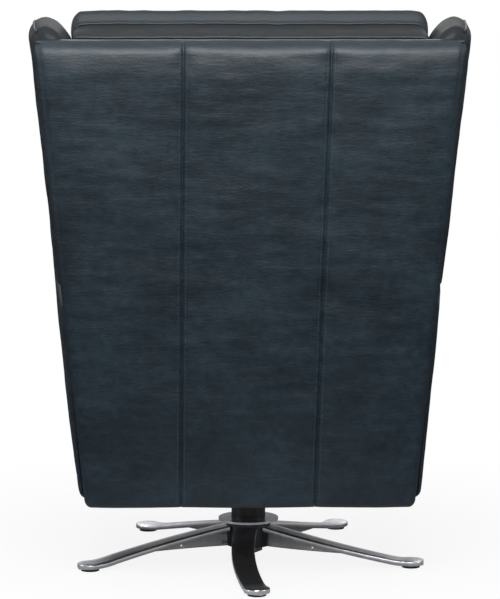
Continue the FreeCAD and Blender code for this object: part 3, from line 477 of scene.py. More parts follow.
def stitchTree():
    tree, start = nodeTree("stitchesAlongPath", {"Radius": 0.0005, "Length": 0.0042, "Spacing": 0.0062})
    points = addNode(tree, "GeometryNodeCurveToPoints", {"mode": "LENGTH"}, {
        "Curve": start.outputs["Path"], "Length": start.outputs["Spacing"]})
    bead = addNode(tree, "GeometryNodeMeshUVSphere", inputs={"Segments": 6, "Rings": 5, "Radius": 1.0})
    half = addNode(tree, "ShaderNodeMath", {"operation": "MULTIPLY"}, {0: start.outputs["Length"], 1: 0.5})
    size = addNode(tree, "ShaderNodeCombineXYZ", inputs={
        0: start.outputs["Radius"], 1: start.outputs["Radius"], 2: half.outputs[0]})
    stitch = addNode(tree, "GeometryNodeInstanceOnPoints", inputs={
        "Points": points.outputs["Points"], "Instance": bead.outputs[0],
        "Rotation": points.outputs["Rotation"], "Scale": size.outputs[0]})
    closeTree(tree, start, stitch.outputs[0])
    return tree


welts = weltTree()
stitches = stitchTree()


def grow(name, paths, tree, sizes, material):
    # paths: lists of points, each with True when it closes on itself
    curve = bpy.data.curves.new(name + "Path", "CURVE")
    curve.dimensions = "3D"
    for points, closed in paths:
        spline = curve.splines.new("POLY")
        spline.points.add(len(points) - 1)
        for place, point in zip(spline.points, points):
            place.co = (*point, 1)
        spline.use_cyclic_u = closed
    carrier = placed(name + "Path", curve)
    grower = carrier.modifiers.new("grow", "NODES")
    grower.node_group = tree
    wanted = dict(sizes, Finish=material)
    for item in tree.interface.items_tree:
        if item.in_out == "INPUT" and item.name in wanted:
            grower[item.identifier] = wanted[item.name]
    mesh = bakedMesh(carrier)
    mesh.name = name
    bpy.data.objects.remove(carrier)
    return placed(name, mesh)


def leatherPiece(obj, body, replaced):
    markWear(obj)
    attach(obj, body)
    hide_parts(*replaced)


def trim(name, paths, kind, body, sizes):
    # A welt or a row of stitches that rides with its piece
    if kind == "welt":
        obj = grow(name, paths, welts, sizes, leather)
    else:
        obj = grow(name, paths, stitches, sizes, thread)
    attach(obj, body)
    return obj


print("helpers done")

# Outer back: three padded panels between two sewn seams, rolled over at every edge
outer = {
    "step": 0.0056, "crown": 0.005, "groove": 0.0036, "grooveWidth": 0.0026, "topstitch": 0.0065,
    "seams": ((0.125, 0.116), (-0.117, -0.141)), "rollSide": 0.012, "roll": 0.019, "rollFront": 0.003,
    "unevenness": 0.0014, "creases": 0.0007, "stitchDip": 0.0007, "topPuckers": 0.0011, "footPuckers": 0.0008,
    "gathers": 0.0014, "foldPitch": 0.0135, "foldSway": 0.061, "nod": 0.008, "nodHeight": 0.062,
    "wrap": 0.0355, "spare": 0.0018, "stitch": 0.00055,
}
leanRear = leanPoints(np.array([[0, 0, 0], [0, 1, 0]]))
intoBack = Vector(leanRear[0] - leanRear[1])


def seamPlace(k, share):
    low, high = outer["seams"][k]
    return low + (high - low) * share


def outerBackPoints(shell):
    # Panels, seams, gathers and unevenness, laid over the reference grid
    ref = shell["points"]
    t = ref[:, 2]
    share = t / back["height"]
    # the leather wraps round the edge of the board as well
    half = backHalf(t) + outer["spare"]
    bounds = np.stack([-half, seamPlace(1, share), seamPlace(0, share), half], 1)
    refHalf = back["halfBottom"]
    breaks = [-refHalf, outer["seams"][1][0], outer["seams"][0][0], refHalf]
    x = np.array([np.interp(ref[k, 0], breaks, bounds[k]) for k in range(len(ref))])
    lift = np.zeros(len(ref))
    for a in range(3):
        q = (x - bounds[:, a]) / (bounds[:, a + 1] - bounds[:, a])
        lift = np.where((q >= 0) & (q <= 1), outer["crown"] * (1 - np.abs(2 * q - 1) ** 2.4), lift)
    for seam in (bounds[:, 1], bounds[:, 2]):
        d = np.abs(x - seam)
        lift -= outer["groove"] * np.exp(-(d / outer["grooveWidth"]) ** 2)
        lift -= outer["stitchDip"] * np.exp(-((d - outer["topstitch"]) / 0.0016) ** 2)
        # the sewn seam is shorter than the leather beside it, which gathers in small folds
        folds = np.sin(t / outer["foldPitch"] + 2.1 * np.sin(t / outer["foldSway"]))
        folds *= np.exp(-((d - 0.011) / 0.012) ** 2)
        ends = 0.25 + np.exp((t - back["height"]) / 0.05) + 0.5 * np.exp(-t / 0.05)
        lift += outer["gathers"] * folds * ends
    place = np.stack([x, np.zeros(len(x)), t], 1)
    lift += outer["unevenness"] * noiseField(place * (1, 1, 0.8), 9, 1)
    lift += outer["creases"] * noiseField(place * (0.35, 1, 1.6), 34, 2, 4)
    # puckers where the roll is pulled down to its welt
    upright = place * (1, 1, 0.25)
    lift += outer["topPuckers"] * np.exp(-((back["height"] - t) / 0.017) ** 2) * noiseField(upright, 62, 3, 2)
    lift += outer["footPuckers"] * np.exp(-(t / 0.02) ** 2) * noiseField(upright, 48, 4, 2)
    # towards its top the back nods forward into the roll
    lift -= outer["nod"] * np.clip(1 - (back["height"] - t) / outer["nodHeight"], 0, 1) ** 2
    rear = np.clip(shell["outward"][:, 1], 0, 1) ** 0.7
    t = t + outer["spare"] * shell["outward"][:, 2]
    return leanPoints(np.stack([x, ref[:, 1] + lift * rear, t], 1))


offsets = [0.0013, 0.0026, 0.0045, 0.0065, 0.0085, 0.0115]
seamColumns = [seam[0] + d for seam in outer["seams"] for d in [0] + offsets + [-d for d in offsets]]
outerShell = roundedShell(
    (-back["halfBottom"], -outer["wrap"], 0), (back["halfBottom"], 0, back["height"]),
    (outer["rollSide"], outer["rollFront"], 0.012), (outer["rollSide"], outer["roll"], outer["roll"]),
    (outer["step"] * 0.86, 0.006, outer["step"]), {0: seamColumns})
outerPoints = outerBackPoints(outerShell)
outerBack = makePiece("outerBackCover", outerPoints, outerShell["faces"], leather)
leatherPiece(outerBack, "back", ["outer_back", "outer_back_foam"])


def acrossBack(half, n, t, wave, seed):
    # A line across the back that wavers as a sewn welt does
    count = int(2 * half / 0.006)
    row = np.stack([np.linspace(-half, half, count + 1), np.full(count + 1, n), np.full(count + 1, t)], 1)
    sway = noiseField(row, 26, seed, 2) * wave
    row[:, 2] += sway
    row[:, 1] += sway * 0.5
    return [Vector(p) for p in leanPoints(row)]


welt = {"radius": 0.0031, "t": 0.8515, "n": -0.0195, "inset": 0.004}
path = acrossBack(float(backHalf(welt["t"])) - welt["inset"], welt["n"], welt["t"], 0.0012, 5)
trim("outerBackWelt", [(path, False)], "welt", "back", {"Radius": welt["radius"]})

outerTree = surfaceTree(outerPoints, outerShell["faces"])
rows = []
for seam in range(2):
    for side in (-1, 1):
        line = np.array([(seamPlace(seam, s) + side * outer["topstitch"], 0.05, s * back["height"])
                         for s in np.linspace(0.012, 0.986, 160)])
        rows.append(([landOn(outerTree, p, intoBack, 0.0002) for p in leanPoints(line)], False))
trim("backSeamStitches", rows, "stitch", "back", {"Radius": outer["stitch"]})
print("outer back done")


# Wings: padded side cheeks, rounded over at the top and cut off below to clear the arms
wing = {
    "thick": 0.06, "over": 0.004, "top": 0.875, "fall": 0.028, "foot": 0.38, "gap": 0.008,
    "depthLow": 0.262, "depthHigh": 0.118, "bulge": 0.006, "flare": math.tan(math.radians(3.8)),
    "roundFront": 0.024, "roundTop": 0.03, "roundRear": 0.032, "welt": 0.0022,
}
arm = {
    "inner": 0.247, "over": 0.008, "front": -0.418, "bottom": 0.165, "topRear": 0.548, "topFront": 0.575,
    "rearGap": 0.006, "roundTop": 0.03, "roundBottom": 0.014, "bulge": 0.004, "welt": 0.0028,
}
armRearY = lean["footY"] - rearStack * math.cos(lean["angle"])
armFall = (arm["topFront"] - arm["topRear"]) / (armRearY - arm["front"])


def wingPoints(shell, size, side):
    ref = shell["points"] / size
    c = math.cos(lean["angle"])
    s = math.sin(lean["angle"])
    depthAt = lambda t: wing["depthHigh"] + (wing["depthLow"] - wing["depthHigh"]) * (
        1 - np.clip((t - wing["foot"]) / (back["height"] - wing["foot"]), 0, 1)) ** 1.5
    t = wing["foot"] + ref[:, 2] * (wing["top"] - wing["foot"])
    for _ in range(3):
        n = -rearStack - (1 - ref[:, 1]) * depthAt(t)
        # the foot of the wing follows the slope of the arm
        level = arm["topRear"] + wing["gap"] - lean["footZ"] + (armRearY - lean["footY"]) * armFall
        foot = (level + n * (s - armFall * c)) / (c + armFall * s)
        t = foot + ref[:, 2] * (wing["top"] - foot)
    inner = backHalf(t) - wing["thick"]
    outerSide = backHalf(t) + wing["over"] + (-rearStack - n) * wing["flare"]
    # the outer side is a soft pad, fullest in its middle
    swell = wing["bulge"] * np.sin(np.pi * ref[:, 1]) ** 0.8 * np.clip(shell["outward"][:, 0], 0, 1)
    x = inner + (outerSide - inner) * ref[:, 0] + swell
    # the top falls inward to the headrest
    slope = np.clip(1 - ref[:, 0] / 0.62, 0, 1)
    t = t - wing["fall"] * slope ** 1.5 * np.clip((t - wing["top"] + 0.08) / 0.08, 0, 1) ** 1.5
    place = np.stack([x, n, t], 1)
    soft = 0.0014 * noiseField(place, 13, 11 + side) + 0.0005 * noiseField(place, 45, 13 + side)
    place += shell["outward"] * soft[:, None]
    place[:, 0] *= side
    return leanPoints(place)


def softShell(name, points, faces, flip, body, replaced):
    obj = makePiece(name, points, [f[::-1] for f in faces] if flip else faces, leather)
    subdivide(obj)
    leatherPiece(obj, body, replaced)
    return obj


def ringPart(shell, axis, level, keep):
    # The longest run of a face's rim that keep() accepts, by place in the ring
    keys = rimKeys(shell, axis, level)
    flags = [keep(shell["flat"][shell["ids"][key]]) for key in keys]
    if all(flags):
        return keys, True
    start = next(k for k in range(len(keys)) if flags[k] and not flags[k - 1])
    turned = keys[start:] + keys[:start]
    run = []
    for key in turned:
        if not keep(shell["flat"][shell["ids"][key]]):
            break
        run.append(key)
    return run, False


wingSize = np.array((wing["thick"], 0.19, 0.48))
for side, label in ((1, "Left"), (-1, "Right")):
    shell = roundedShell(
        (0, 0, 0), tuple(wingSize), (0.024, wing["roundFront"], 0.008),
        (0.028, wing["roundRear"], wing["roundTop"]), (0.008, 0.008, 0.008))
    points = wingPoints(shell, wingSize, side)
    cover = softShell("wingCover" + label, points, shell["faces"], side < 0, "back",
                      ["wing_cover_" + label.lower()] + (["wing_foams"] if side > 0 else []))
    # painted shade darkens the wing tops, from t 0.8 upward
    markPaintedShade(cover, lambda x, n, t: 0.85 * (t - 0.8) / 0.05)
    keys, closed = ringPart(shell, 0, shell["counts"][0], lambda f: f[1] < 0.97 and f[2] > 0.02)
    trim("wingWelt" + label, [(shellPath(points, shell, keys), closed)], "welt", "back",
         {"Radius": wing["welt"]})
print("wings done")


# Arms: closed padded boxes that lean out and flare forward, sewn with a welt round the outer panel
def armPoints(shell, size, side):
    ref = shell["points"] / size
    z = arm["bottom"] + ref[:, 2] * (arm["topRear"] - arm["bottom"])
    for _ in range(3):
        rearY = lean["footY"] + (z - lean["footZ"]) * math.tan(lean["angle"]) - (
            rearStack + arm["rearGap"]) / math.cos(lean["angle"])
        y = arm["front"] + ref[:, 1] * (rearY - arm["front"])
        top = arm["topRear"] + (armRearY - y) * armFall
        z = arm["bottom"] + ref[:, 2] * (top - arm["bottom"])
    reach = backHalf(z - lean["footZ"]) + arm["over"] + (lean["footY"] - y) * wing["flare"]
    swell = arm["bulge"] * (np.sin(np.pi * ref[:, 1]) * np.sin(np.pi * ref[:, 2])).clip(0, 1) ** 0.5
    x = arm["inner"] + (reach - arm["inner"]) * ref[:, 0] + swell * np.clip(shell["outward"][:, 0], 0, 1)
    place = np.stack([x, y, z], 1)
    place[:, 2] += 0.003 * np.clip(shell["outward"][:, 2], 0, 1) * np.sin(np.pi * np.clip(ref[:, 0], 0, 1))
    soft = 0.0013 * noiseField(place, 11, 21 + side) + 0.0004 * noiseField(place * (1, 1, 2), 40, 23 + side)
    # the inner face stays flat against the seat
    soft *= 1 - np.clip(-shell["outward"][:, 0], 0, 1)
    place += shell["outward"] * soft[:, None]
    place[:, 0] *= side
    return place


armSize = np.array((0.11, 0.7, 0.39))
for side, label in ((1, "Left"), (-1, "Right")):
    shell = roundedShell(
        (0, 0, 0), tuple(armSize), (0.024, 0.022, arm["roundBottom"]), (0.026, 0.007, arm["roundTop"]),
        (0.01, 0.011, 0.011))
    points = armPoints(shell, armSize, side)
    softShell("armCover" + label, points, shell["faces"], side < 0, "seat",
              ["arm_cover_" + label.lower()] + (["arm_foams"] if side > 0 else []))
    keys, closed = ringPart(shell, 0, shell["counts"][0], lambda f: f[2] > 0.02)
    outerWelt = (shellPath(points, shell, keys), closed)
    keys, closed = ringPart(shell, 0, 0, lambda f: f[2] > 0.02 and f[1] < 0.97)
    trim("armWelts" + label, [outerWelt, (shellPath(points, shell, keys), closed)], "welt", "seat",
         {"Radius": arm["welt"]})
print("arms done")


# Leather-covered top of the back frame, between the wings
roll = {"half": 0.313, "front": -0.07, "rear": -0.0245, "low": 0.8295, "high": 0.84}
shell = roundedShell((-roll["half"], roll["front"], roll["low"]), (roll["half"], roll["rear"], roll["high"]),
                     (0.008, 0.005, 0.003), (0.008, 0.004, 0.006), (0.008, 0.007, 0.004))
place = shell["points"] + shell["outward"] * (0.0006 * noiseField(shell["points"], 40, 31))[:, None]
cover = softShell("backTopCover", leanPoints(place), shell["faces"], False, "back", ["back_top_roll"])
# painted shade over the whole top of the back frame
markPaintedShade(cover, lambda x, n, t: 1 + 0 * t)


# Cushions: boxed, crowned, welted at both rims, and settled by a short cloth simulation
clothFrames = 18
clothSettings = {
    "quality": 6, "mass": 0.4, "tension_stiffness": 18, "compression_stiffness": 10, "shear_stiffness": 8,
    "bending_stiffness": 0.6, "use_pressure": True, "uniform_pressure_force": 4.0, "vertex_group_mass": "held",
}


def settle(obj, pins, limit):
    # Lets the cover fill out and crease under pressure; pins says how firmly each vertex is held
    before = readPoints(obj).copy()
    group = obj.vertex_groups.new(name="held")
    for k, weight in enumerate(pins):
        if weight > 0:
            group.add([k], float(weight), "REPLACE")
    cover = obj.modifiers.new("settle", "CLOTH")
    for name, value in clothSettings.items():
        setattr(cover.settings, name, value)
    cover.settings.effector_weights.gravity = 0
    cover.collision_settings.use_collision = False
    cover.point_cache.frame_start = 1
    cover.point_cache.frame_end = clothFrames
    for frameNumber in range(1, clothFrames + 1):
        bpy.context.scene.frame_set(frameNumber)
    depsgraph = bpy.context.evaluated_depsgraph_get()
    mesh = obj.evaluated_get(depsgraph).to_mesh()
    after = np.empty(len(mesh.vertices) * 3)
    mesh.vertices.foreach_get("co", after)
    after = after.reshape(-1, 3)
    obj.evaluated_get(depsgraph).to_mesh_clear()
    obj.modifiers.clear()
    bpy.context.scene.frame_set(1)
    move = after - before
    length = np.linalg.norm(move, axis=1)[:, None]
    move *= np.minimum(1, limit / np.maximum(length, 1e-9))
    writePoints(obj, before + move)
    print(obj.name, "settled, largest move", round(float(length.max()) * 1000, 1), "mm")


def cushion(name, low, high, roundLow, roundHigh, step, shape, body, replaced, welts=(), held=None,
            limit=0.008, weltRadius=0.003):
    # shape places the reference grid; welts are the axis, grid level and keep rule of each sewn rim
    shell = roundedShell(low, high, roundLow, roundHigh, step)
    points = shape(shell)
    obj = makePiece(name, points, shell["faces"], leather)
    if held is not None:
        settle(obj, held(shell), limit)
        smooth(obj, 0.3)
    points = readPoints(obj)
    subdivide(obj)
    leatherPiece(obj, body, replaced)
    paths = []
    for axis, level, keep in welts:
        keys, closed = ringPart(shell, axis, level % (shell["counts"][axis] + 1), keep)
        paths.append((shellPath(points, shell, keys), closed))
    if paths:
        trim(name + "Welts", paths, "welt", body, {"Radius": weltRadius})
    return obj, shell, points


seatPad = {"half": 0.244, "front": -0.405, "rear": 0.238, "bottom": 0.377, "top": 0.47, "crown": 0.009}


def seatShape(shell):
    ref = shell["points"]
    flat = shell["flat"]
    up = np.clip(shell["outward"][:, 2], 0, 1)
    dome = (np.sin(np.pi * flat[:, 0]) * np.sin(np.pi * flat[:, 1])).clip(0, 1) ** 0.6
    place = ref.copy()
    place[:, 2] += up * (seatPad["crown"] * dome + 0.0018 * noiseField(ref, 8, 41))
    side = 1 - np.abs(shell["outward"][:, 2])
    place += shell["outward"] * (side * 0.0012 * noiseField(ref, 17, 42))[:, None]
    return place


def heldSides(axis, level, firm=0.9):
    # Holds one face and its rims, and leaves the face across from it free
    def weights(shell):
        flat = shell["flat"][:, axis]
        return np.clip((flat if level else 1 - flat) * 1.6 - 0.3, 0, 1) * firm
    return weights


always = lambda f: True
cushion("seatCushionCover", (-seatPad["half"], seatPad["front"], seatPad["bottom"]),
        (seatPad["half"], seatPad["rear"], seatPad["top"]), (0.022, 0.024, 0.012), (0.022, 0.016, 0.024),
        (0.011, 0.011, 0.011), seatShape, "seat", ["seat_cushion", "seat_foam"],
        welts=((2, -1, always), (2, 0, always)), held=heldSides(2, 0))

backPad = {"low": 0.309, "high": 0.71, "halfLow": 0.236, "halfHigh": 0.298, "rear": -0.0725, "thick": 0.1,
           "crown": 0.012, "channel": 0.17}


def backPadShape(shell):
    ref = shell["points"]
    flat = shell["flat"]
    share = (ref[:, 2] - backPad["low"]) / (backPad["high"] - backPad["low"])
    half = backPad["halfLow"] + (backPad["halfHigh"] - backPad["halfLow"]) * share
    place = ref.copy()
    place[:, 0] *= half / backPad["halfLow"]
    ahead = np.clip(-shell["outward"][:, 1], 0, 1)
    above = ref[:, 2] - backPad["low"] - backPad["channel"]
    tall = np.where(above > 0, backPad["high"] - backPad["low"] - backPad["channel"], backPad["channel"])
    puff = np.clip(1 - (1 - 2 * np.clip(np.abs(above) / tall, 0, 1)) ** 2, 0, 1) ** 0.5
    dome = np.sin(np.pi * flat[:, 0]).clip(0, 1) ** 0.5
    crease = np.exp(-(above / 0.006) ** 2)
    place[:, 1] -= ahead * (backPad["crown"] * dome * puff - 0.009 * crease + 0.0016 * noiseField(ref, 9, 51))
    return leanPoints(place)


cushion("backCushionCover", (-backPad["halfLow"], backPad["rear"] - backPad["thick"], backPad["low"]),
        (backPad["halfLow"], backPad["rear"], backPad["high"]), (0.024, 0.03, 0.024), (0.024, 0.01, 0.022),
        (0.011, 0.011, 0.011), backPadShape, "back", ["back_cushion", "back_foam"],
        welts=((1, 0, always),), held=heldSides(1, 1))

head = {"low": 0.732, "rear": -0.074, "boxing": 0.086, "depth": 0.122, "topRear": 0.851, "topFront": 0.856,
        "halfLow": 0.298, "halfHigh": 0.317, "puff": 0.026, "dip": 0.0035}


def headShape(shell):
    ref = shell["points"]
    outward = shell["outward"]
    place = ref.copy()
    share = (ref[:, 2] - head["low"]) / (head["topRear"] - head["low"])
    place[:, 0] *= (head["halfLow"] + (head["halfHigh"] - head["halfLow"]) * share) / head["halfLow"]
    # ahead of the boxing the front panel balloons up over its welt
    ahead = np.clip((head["rear"] - head["boxing"] - ref[:, 1]) / (head["depth"] - head["boxing"]), 0, 1)
    rise = np.sin(np.pi * np.clip(ahead * 1.25, 0, 1)) ** 0.75
    place[:, 2] += head["puff"] * rise * np.clip(outward[:, 2], 0, 1) ** 0.6
    place[:, 0] += 0.006 * rise * outward[:, 0] * np.abs(outward[:, 0])
    boxed = np.clip(outward[:, 2], 0, 1) * (1 - ahead)
    along = np.clip((head["rear"] - ref[:, 1]) / head["boxing"], 0, 1)
    place[:, 2] += (head["topFront"] - head["topRear"]) * along * np.clip(outward[:, 2], 0, 1)
    place[:, 2] += boxed * 0.003 * np.sin(np.pi * along)
    # the leather dips beside its front welt
    place[:, 2] -= head["dip"] * np.exp(-((ref[:, 1] - head["rear"] + head["boxing"]) / 0.008) ** 2) * (
        np.clip(outward[:, 2], 0, 1))
    # the corners are drawn in, so the boxing puckers
    corner = np.exp(-((head["halfLow"] - np.abs(ref[:, 0])) / 0.03) ** 2)
    place += outward * ((0.0012 + 0.0018 * corner) * noiseField(ref * (1, 0.4, 1), 42, 61))[:, None]
    place += outward * (0.0014 * noiseField(ref, 12, 62))[:, None]
    return leanPoints(place)


headCover, headGrid, headPoints = cushion(
    "headrestCover", (-head["halfLow"], head["rear"] - head["depth"], head["low"]),
    (head["halfLow"], head["rear"], head["topRear"]), (0.016, 0.036, 0.02), (0.016, 0.006, 0.012),
    (0.009, 0.007, 0.009), headShape, "headrest", ["headrest_cushion", "headrest_foam"])
boxingFront = head["rear"] - head["boxing"]
# painted shade: full on the boxing and the rear, 0.35 of it on the front panel
markPaintedShade(headCover, lambda x, n, t: 0.35 + 0.65 * np.clip((n - boxingFront + 0.004) / 0.008, 0, 1))
paths = []
for level, rise in ((headGrid["counts"][1], 0.0012), (4, 0.004)):
    rim = leanPoints(np.array([(0, 0, 0), (0, 0, rise)]))
    keys, closed = ringPart(headGrid, 1, level, always)
    lifted = [p + Vector(rim[1] - rim[0]) * float(np.clip(headGrid["outward"][headGrid["ids"][key]][2], 0, 1))
              for p, key in zip(shellPath(headPoints, headGrid, keys), keys)]
    paths.append((lifted, closed))
trim("headrestWelts", paths, "welt", "headrest", {"Radius": 0.0027})

rest = {"half": 0.234, "front": -0.412, "rear": -0.366, "low": 0.176, "high": 0.37}


def restShape(shell):
    ref = shell["points"]
    flat = shell["flat"]
    ahead = np.clip(-shell["outward"][:, 1], 0, 1)
    dome = (np.sin(np.pi * flat[:, 0]) * np.sin(np.pi * flat[:, 2])).clip(0, 1) ** 0.5
    place = ref.copy()
    place[:, 1] -= ahead * (0.004 * dome - 0.004) + ahead * 0.0011 * noiseField(ref, 15, 71)
    return place


cushion("footrestPadCover", (-rest["half"], rest["front"], rest["low"]),
        (rest["half"], rest["rear"], rest["high"]), (0.014, 0.02, 0.016), (0.014, 0.004, 0.02),
        (0.01, 0.008, 0.01), restShape, "footrest", ["footrest_pad"], welts=((1, 0, always),))

toe = {"half": 0.224, "front": -0.344, "rear": -0.326, "low": 0.184, "high": 0.334}


def toeShape(shell):
    ref = shell["points"]
    inward = np.clip(shell["outward"][:, 1], 0, 1)
    place = ref.copy()
    place[:, 1] += inward * (0.0008 * noiseField(ref, 18, 72) - 0.0006)
    return place


cushion("toePadCover", (-toe["half"], toe["front"], toe["low"]), (toe["half"], toe["rear"], toe["high"]),
        (0.012, 0.003, 0.012), (0.012, 0.01, 0.012), (0.01, 0.006, 0.01), toeShape, "toe", ["toe_pad"],
        welts=((1, -1, always),), weltRadius=0.0024)
print("cushions done")


# Star base: cast legs, a flat flange over a tapering web, polished
leg = {
    "rootShift": 0.0035, "tipShift": -0.012, "root": 0.033, "reach": 0.315, "bow": 0.0145, "width": 0.043,
    "rootTop": 0.073, "footTop": 0.014, "foot": 0.024, "flange": 0.009, "web": 0.01, "webBottom": 0.026,
    "hub": 0.042, "edge": 0.0022, "holeReach": 0.13, "holeZ": 0.0295, "hole": 0.0028, "bitHalf": 0.02,
    "stations": 46, "count": 5,
}


def legLine():
    # The bowed centre line as points and sideways directions, on the floor plan
    start = Vector((leg["rootShift"], leg["root"]))
    end = Vector((leg["tipShift"], leg["reach"]))
    along = end - start
    side = Vector((along.y, -along.x)).normalized()
    radius = (along.length ** 2 / 4 + leg["bow"] ** 2) / (2 * leg["bow"])
    centre = (start + end) / 2 + side * (leg["bow"] - radius)
    first = math.atan2(start.y - centre.y, start.x - centre.x)
    last = math.atan2(end.y - centre.y, end.x - centre.x)
    return centre, radius, first, last


def legTop(y):
    # Height of the flange's top: straight, then levelling out into the foot
    bendY = leg["reach"] - 0.046
    bendZ = leg["footTop"] + 0.005
    slope = (leg["rootTop"] - bendZ) / bendY
    if y < bendY:
        return leg["rootTop"] - slope * y
    share = min((y - bendY) / 0.038, 1)
    return leg["footTop"] + 0.005 * (1 - share) ** 2 * (1 + share * 0.2)


def legMesh():
    centre, radius, first, last = legLine()
    stations = []
    for k in range(leg["stations"] + 1):
        a = first + (last - first) * k / leg["stations"]
        out = Vector((math.cos(a), math.sin(a)))
        stations.append((centre + out * radius, out, leg["width"] / 2))
    # the foot: the flange widens into a disc
    heading = Vector((-stations[-1][1].y, stations[-1][1].x))
    heading *= 1 if heading.y > 0 else -1
    hubEdge = leg["hub"] - 0.004
    stations = [s for s in stations if s[0].length > hubEdge]
    footMiddle = Vector((leg["tipShift"], leg["reach"]))
    rings = []
    for place, out, half in stations:
        gone = (place - footMiddle).length
        if gone < leg["foot"]:
            half = max(half, math.sqrt(leg["foot"] ** 2 - gone ** 2))
        rings.append((place, out, half))
    out = stations[-1][1]
    for k in range(1, 13):
        a = math.radians(90 * k / 12)
        ahead = heading * leg["foot"] * math.sin(a)
        rings.append((footMiddle + ahead, out, max(leg["foot"] * math.cos(a), 0.0006)))
    points = []
    faces = []
    r = leg["edge"]
    for place, out, half in rings:
        top = legTop(place.y)
        low = top - leg["flange"]
        webLow = leg["webBottom"] - 0.004 * min(place.y / 0.2, 1)
        depth = max(low - webLow, 0.0)
        w = min(leg["web"] / 2, half * 0.6)
        e = min(r, half * 0.4)
        fillet = 0.004 if depth > 0.004 else 0.0005
        right = [(half - e, top), (half - e * 0.3, top - e * 0.3), (half, top - e), (half, low + e),
                 (half - e * 0.3, low + e * 0.3), (half - e, low), (w + fillet, low),
                 (w + fillet * 0.3, low - fillet * 0.3), (w, low - fillet),
                 (w, low - max(depth - 0.002, 0.0006)), (w - 0.002, low - max(depth, 0.0008))]
        section = [(-x, z) for x, z in right] + right[::-1] + [(half * 0.4, top), (-half * 0.4, top)]
        for across, z in section:
            flat = place + out * across
            points.append((flat.x, flat.y, z))
    count = len(section)
    for k in range(len(rings) - 1):
        for j in range(count):
            a = k * count + j
            b = k * count + (j + 1) % count
            faces.append((a, b, b + count, a + count))
    faces.append(tuple(range(count))[::-1])
    last = (len(rings) - 1) * count
    faces.append(tuple(last + j for j in range(count)))
    return points, faces


def drill(obj, place, radius, half):
    # Cuts a small round hole across the web
    sides = 16
    turns = [2 * math.pi * k / sides for k in range(sides)]
    rim = [(radius * math.cos(a), radius * math.sin(a)) for a in turns]
    points = [(place[0] + x, place[1] + y, place[2] + z) for x in (-half, half) for y, z in rim]
    faces = [(k, (k + 1) % sides, (k + 1) % sides + sides, k + sides) for k in range(sides)]
    faces += [tuple(range(sides))[::-1], tuple(range(sides, 2 * sides))]
    bit = makePiece("drillBit", points, faces, polishedAluminium)
    cut = obj.modifiers.new("hole", "BOOLEAN")
    cut.operation = "DIFFERENCE"
    cut.solver = "EXACT"
    cut.object = bit
    mesh = bakedMesh(obj)
    bpy.data.objects.remove(bit)
    return mesh


legPoints, legFaces = legMesh()
plain = makePiece("plainLeg", legPoints, legFaces, polishedAluminium)
drilled = drill(plain, (0, leg["holeReach"], leg["holeZ"]), leg["hole"], leg["bitHalf"])
legPoints = [tuple(v.co) for v in drilled.vertices]
legFaces = [tuple(f.vertices) for f in drilled.polygons]
bpy.data.objects.remove(plain)
for k in range(leg["count"]):
    a = math.radians(360 / leg["count"] * k)
    c, s = math.cos(a), math.sin(a)
    turned = [(x * c - y * s, x * s + y * c, z) for x, y, z in legPoints]
    obj = makePiece("starLeg%d" % (k + 1), turned, legFaces, polishedAluminium)
    obj.data.set_sharp_from_angle(angle=math.radians(30))
    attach(obj, "root")
    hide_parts("star_leg_%d" % (k + 1))
print("legs done")


# Studio: pale floor, soft light from above and behind the camera
# near and far: the floor's painted light round the base and painted shade farther out, as all but camera rays
# see it
studio = {
    "lens": 194.0, "sensor": 36, "distance": 6.0, "height": 1.337, "pitch": 8.0, "turn": 0.6, "yaw": 0.03,
    "world": 0.4, "shine": 0.55, "floor": "#f4f4f4", "near": "#b4b4b4", "far": "#202020",
    "nearReach": (0.36, 0.85), "white": 0.88, "whiteReach": (0.45, 1.2),
}
# place, what it points at, width and height, watts
boxes = {
    "keyBox": ((0.1, 2.3, 1.8), (0, 0.4, 0.75), (1.7, 0.9), 58),
    "topBox": ((0, 0.1, 3.0), (0, 0, 0.5), (2.2, 2.2), 9),
    "leftBox": ((3.0, 0.9, 1.3), (0, 0, 0.5), (1.2, 1.8), 20),
    "rightBox": ((-3.0, 0.9, 1.3), (0, 0, 0.5), (1.2, 1.8), 14),
    "frontBox": ((0, -3.4, 2.2), (0, 0, 0.5), (2.4, 1.6), 22),
}


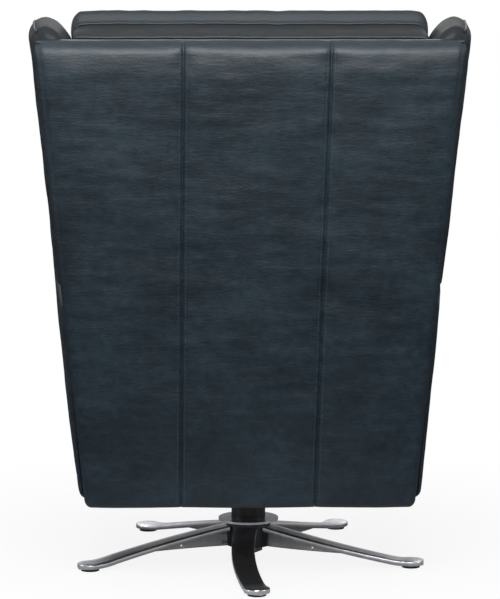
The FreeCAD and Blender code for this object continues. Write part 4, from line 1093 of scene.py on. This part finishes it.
def makeFloor():
    material, tree, place = newMaterial("paleFloor")
    ray = addNode(tree, "ShaderNodeLightPath").outputs["Is Camera Ray"]
    reach = addNode(tree, "ShaderNodeVectorMath", {"operation": "LENGTH"}, {0: place}).outputs["Value"]
    # what the chair sees, painted light: a painted pool of light round the base, which mirrors it, and painted
    # shade, dark grey, farther out, so the leather isn't hazed
    start, end = studio["nearReach"]
    away = addNode(tree, "ShaderNodeMapRange", {"interpolation_type": "SMOOTHSTEP"}, {
        0: reach, 1: start, 2: end})
    paintedFloorLight = addNode(tree, "ShaderNodeMix", {"data_type": "RGBA"}, {
        0: away.outputs[0], 6: colour(studio["near"]), 7: colour(studio["far"])}).outputs[2]
    shade = addNode(tree, "ShaderNodeMix", {"data_type": "RGBA"}, {
        0: ray, 6: paintedFloorLight, 7: colour(studio["floor"])}).outputs[2]
    diffuse = addNode(tree, "ShaderNodeBsdfDiffuse", inputs={"Color": shade})
    bright = addNode(tree, "ShaderNodeEmission", inputs={"Color": (1, 1, 1, 1), "Strength": 1.0})
    start, end = studio["whiteReach"]
    far = addNode(tree, "ShaderNodeMapRange", {"interpolation_type": "SMOOTHSTEP"}, {
        0: reach, 1: start, 2: end, 3: studio["white"], 4: 1.0})
    share = addNode(tree, "ShaderNodeMath", {"operation": "MULTIPLY"}, {0: far.outputs[0], 1: ray})
    mixed = addNode(tree, "ShaderNodeMixShader", inputs={
        0: share.outputs[0], 1: diffuse.outputs[0], 2: bright.outputs[0]})
    closeMaterial(tree, mixed)
    size = 30
    floor = makePiece("floor", [(-size, -size, 0), (size, -size, 0), (size, size, 0), (-size, size, 0)],
                      [(0, 1, 2, 3)], material)


def makeWorld():
    world = bpy.data.worlds.new("studio")
    bpy.context.scene.world = world
    world.use_nodes = True
    tree = world.node_tree
    tree.nodes.clear()
    white = addNode(tree, "ShaderNodeBackground", inputs={"Color": (1, 1, 1, 1), "Strength": 1.0})
    soft = addNode(tree, "ShaderNodeBackground", inputs={"Color": (1, 1, 1, 1), "Strength": studio["world"]})
    shine = addNode(tree, "ShaderNodeBackground", inputs={"Color": (1, 1, 1, 1), "Strength": studio["shine"]})
    rays = addNode(tree, "ShaderNodeLightPath").outputs
    mixed = addNode(tree, "ShaderNodeMixShader", inputs={
        0: rays["Is Glossy Ray"], 1: soft.outputs[0], 2: shine.outputs[0]})
    mixed = addNode(tree, "ShaderNodeMixShader", inputs={
        0: rays["Is Camera Ray"], 1: mixed.outputs[0], 2: white.outputs[0]})
    addNode(tree, "ShaderNodeOutputWorld", inputs={"Surface": mixed.outputs[0]})


def softbox(name, place, aim, size, power):
    light = bpy.data.lights.new(name, "AREA")
    light.shape = "RECTANGLE"
    light.size, light.size_y = size
    light.energy = power
    obj = placed(name, light)
    obj.location = place
    obj.rotation_euler = (Vector(aim) - Vector(place)).to_track_quat("-Z", "Y").to_euler()


def makeCamera():
    camera = bpy.data.cameras.new("camera")
    camera.lens = studio["lens"]
    camera.sensor_width = studio["sensor"]
    obj = placed("camera", camera)
    turn = math.radians(studio["turn"])
    obj.location = (math.sin(turn) * studio["distance"], math.cos(turn) * studio["distance"], studio["height"])
    look = math.radians(180 - studio["turn"] - studio["yaw"])
    drop = math.tan(math.radians(studio["pitch"]))
    target = obj.location + Vector((-math.sin(look) * 1.0, math.cos(look), -drop))
    obj.rotation_euler = (target - obj.location).to_track_quat("-Z", "Y").to_euler()
    bpy.context.scene.camera = obj


makeFloor()
makeWorld()
for name, (place, aim, size, power) in boxes.items():
    softbox(name, place, aim, size, power)
makeCamera()
bpy.context.scene.view_settings.view_transform = "Standard"
print("studio done")
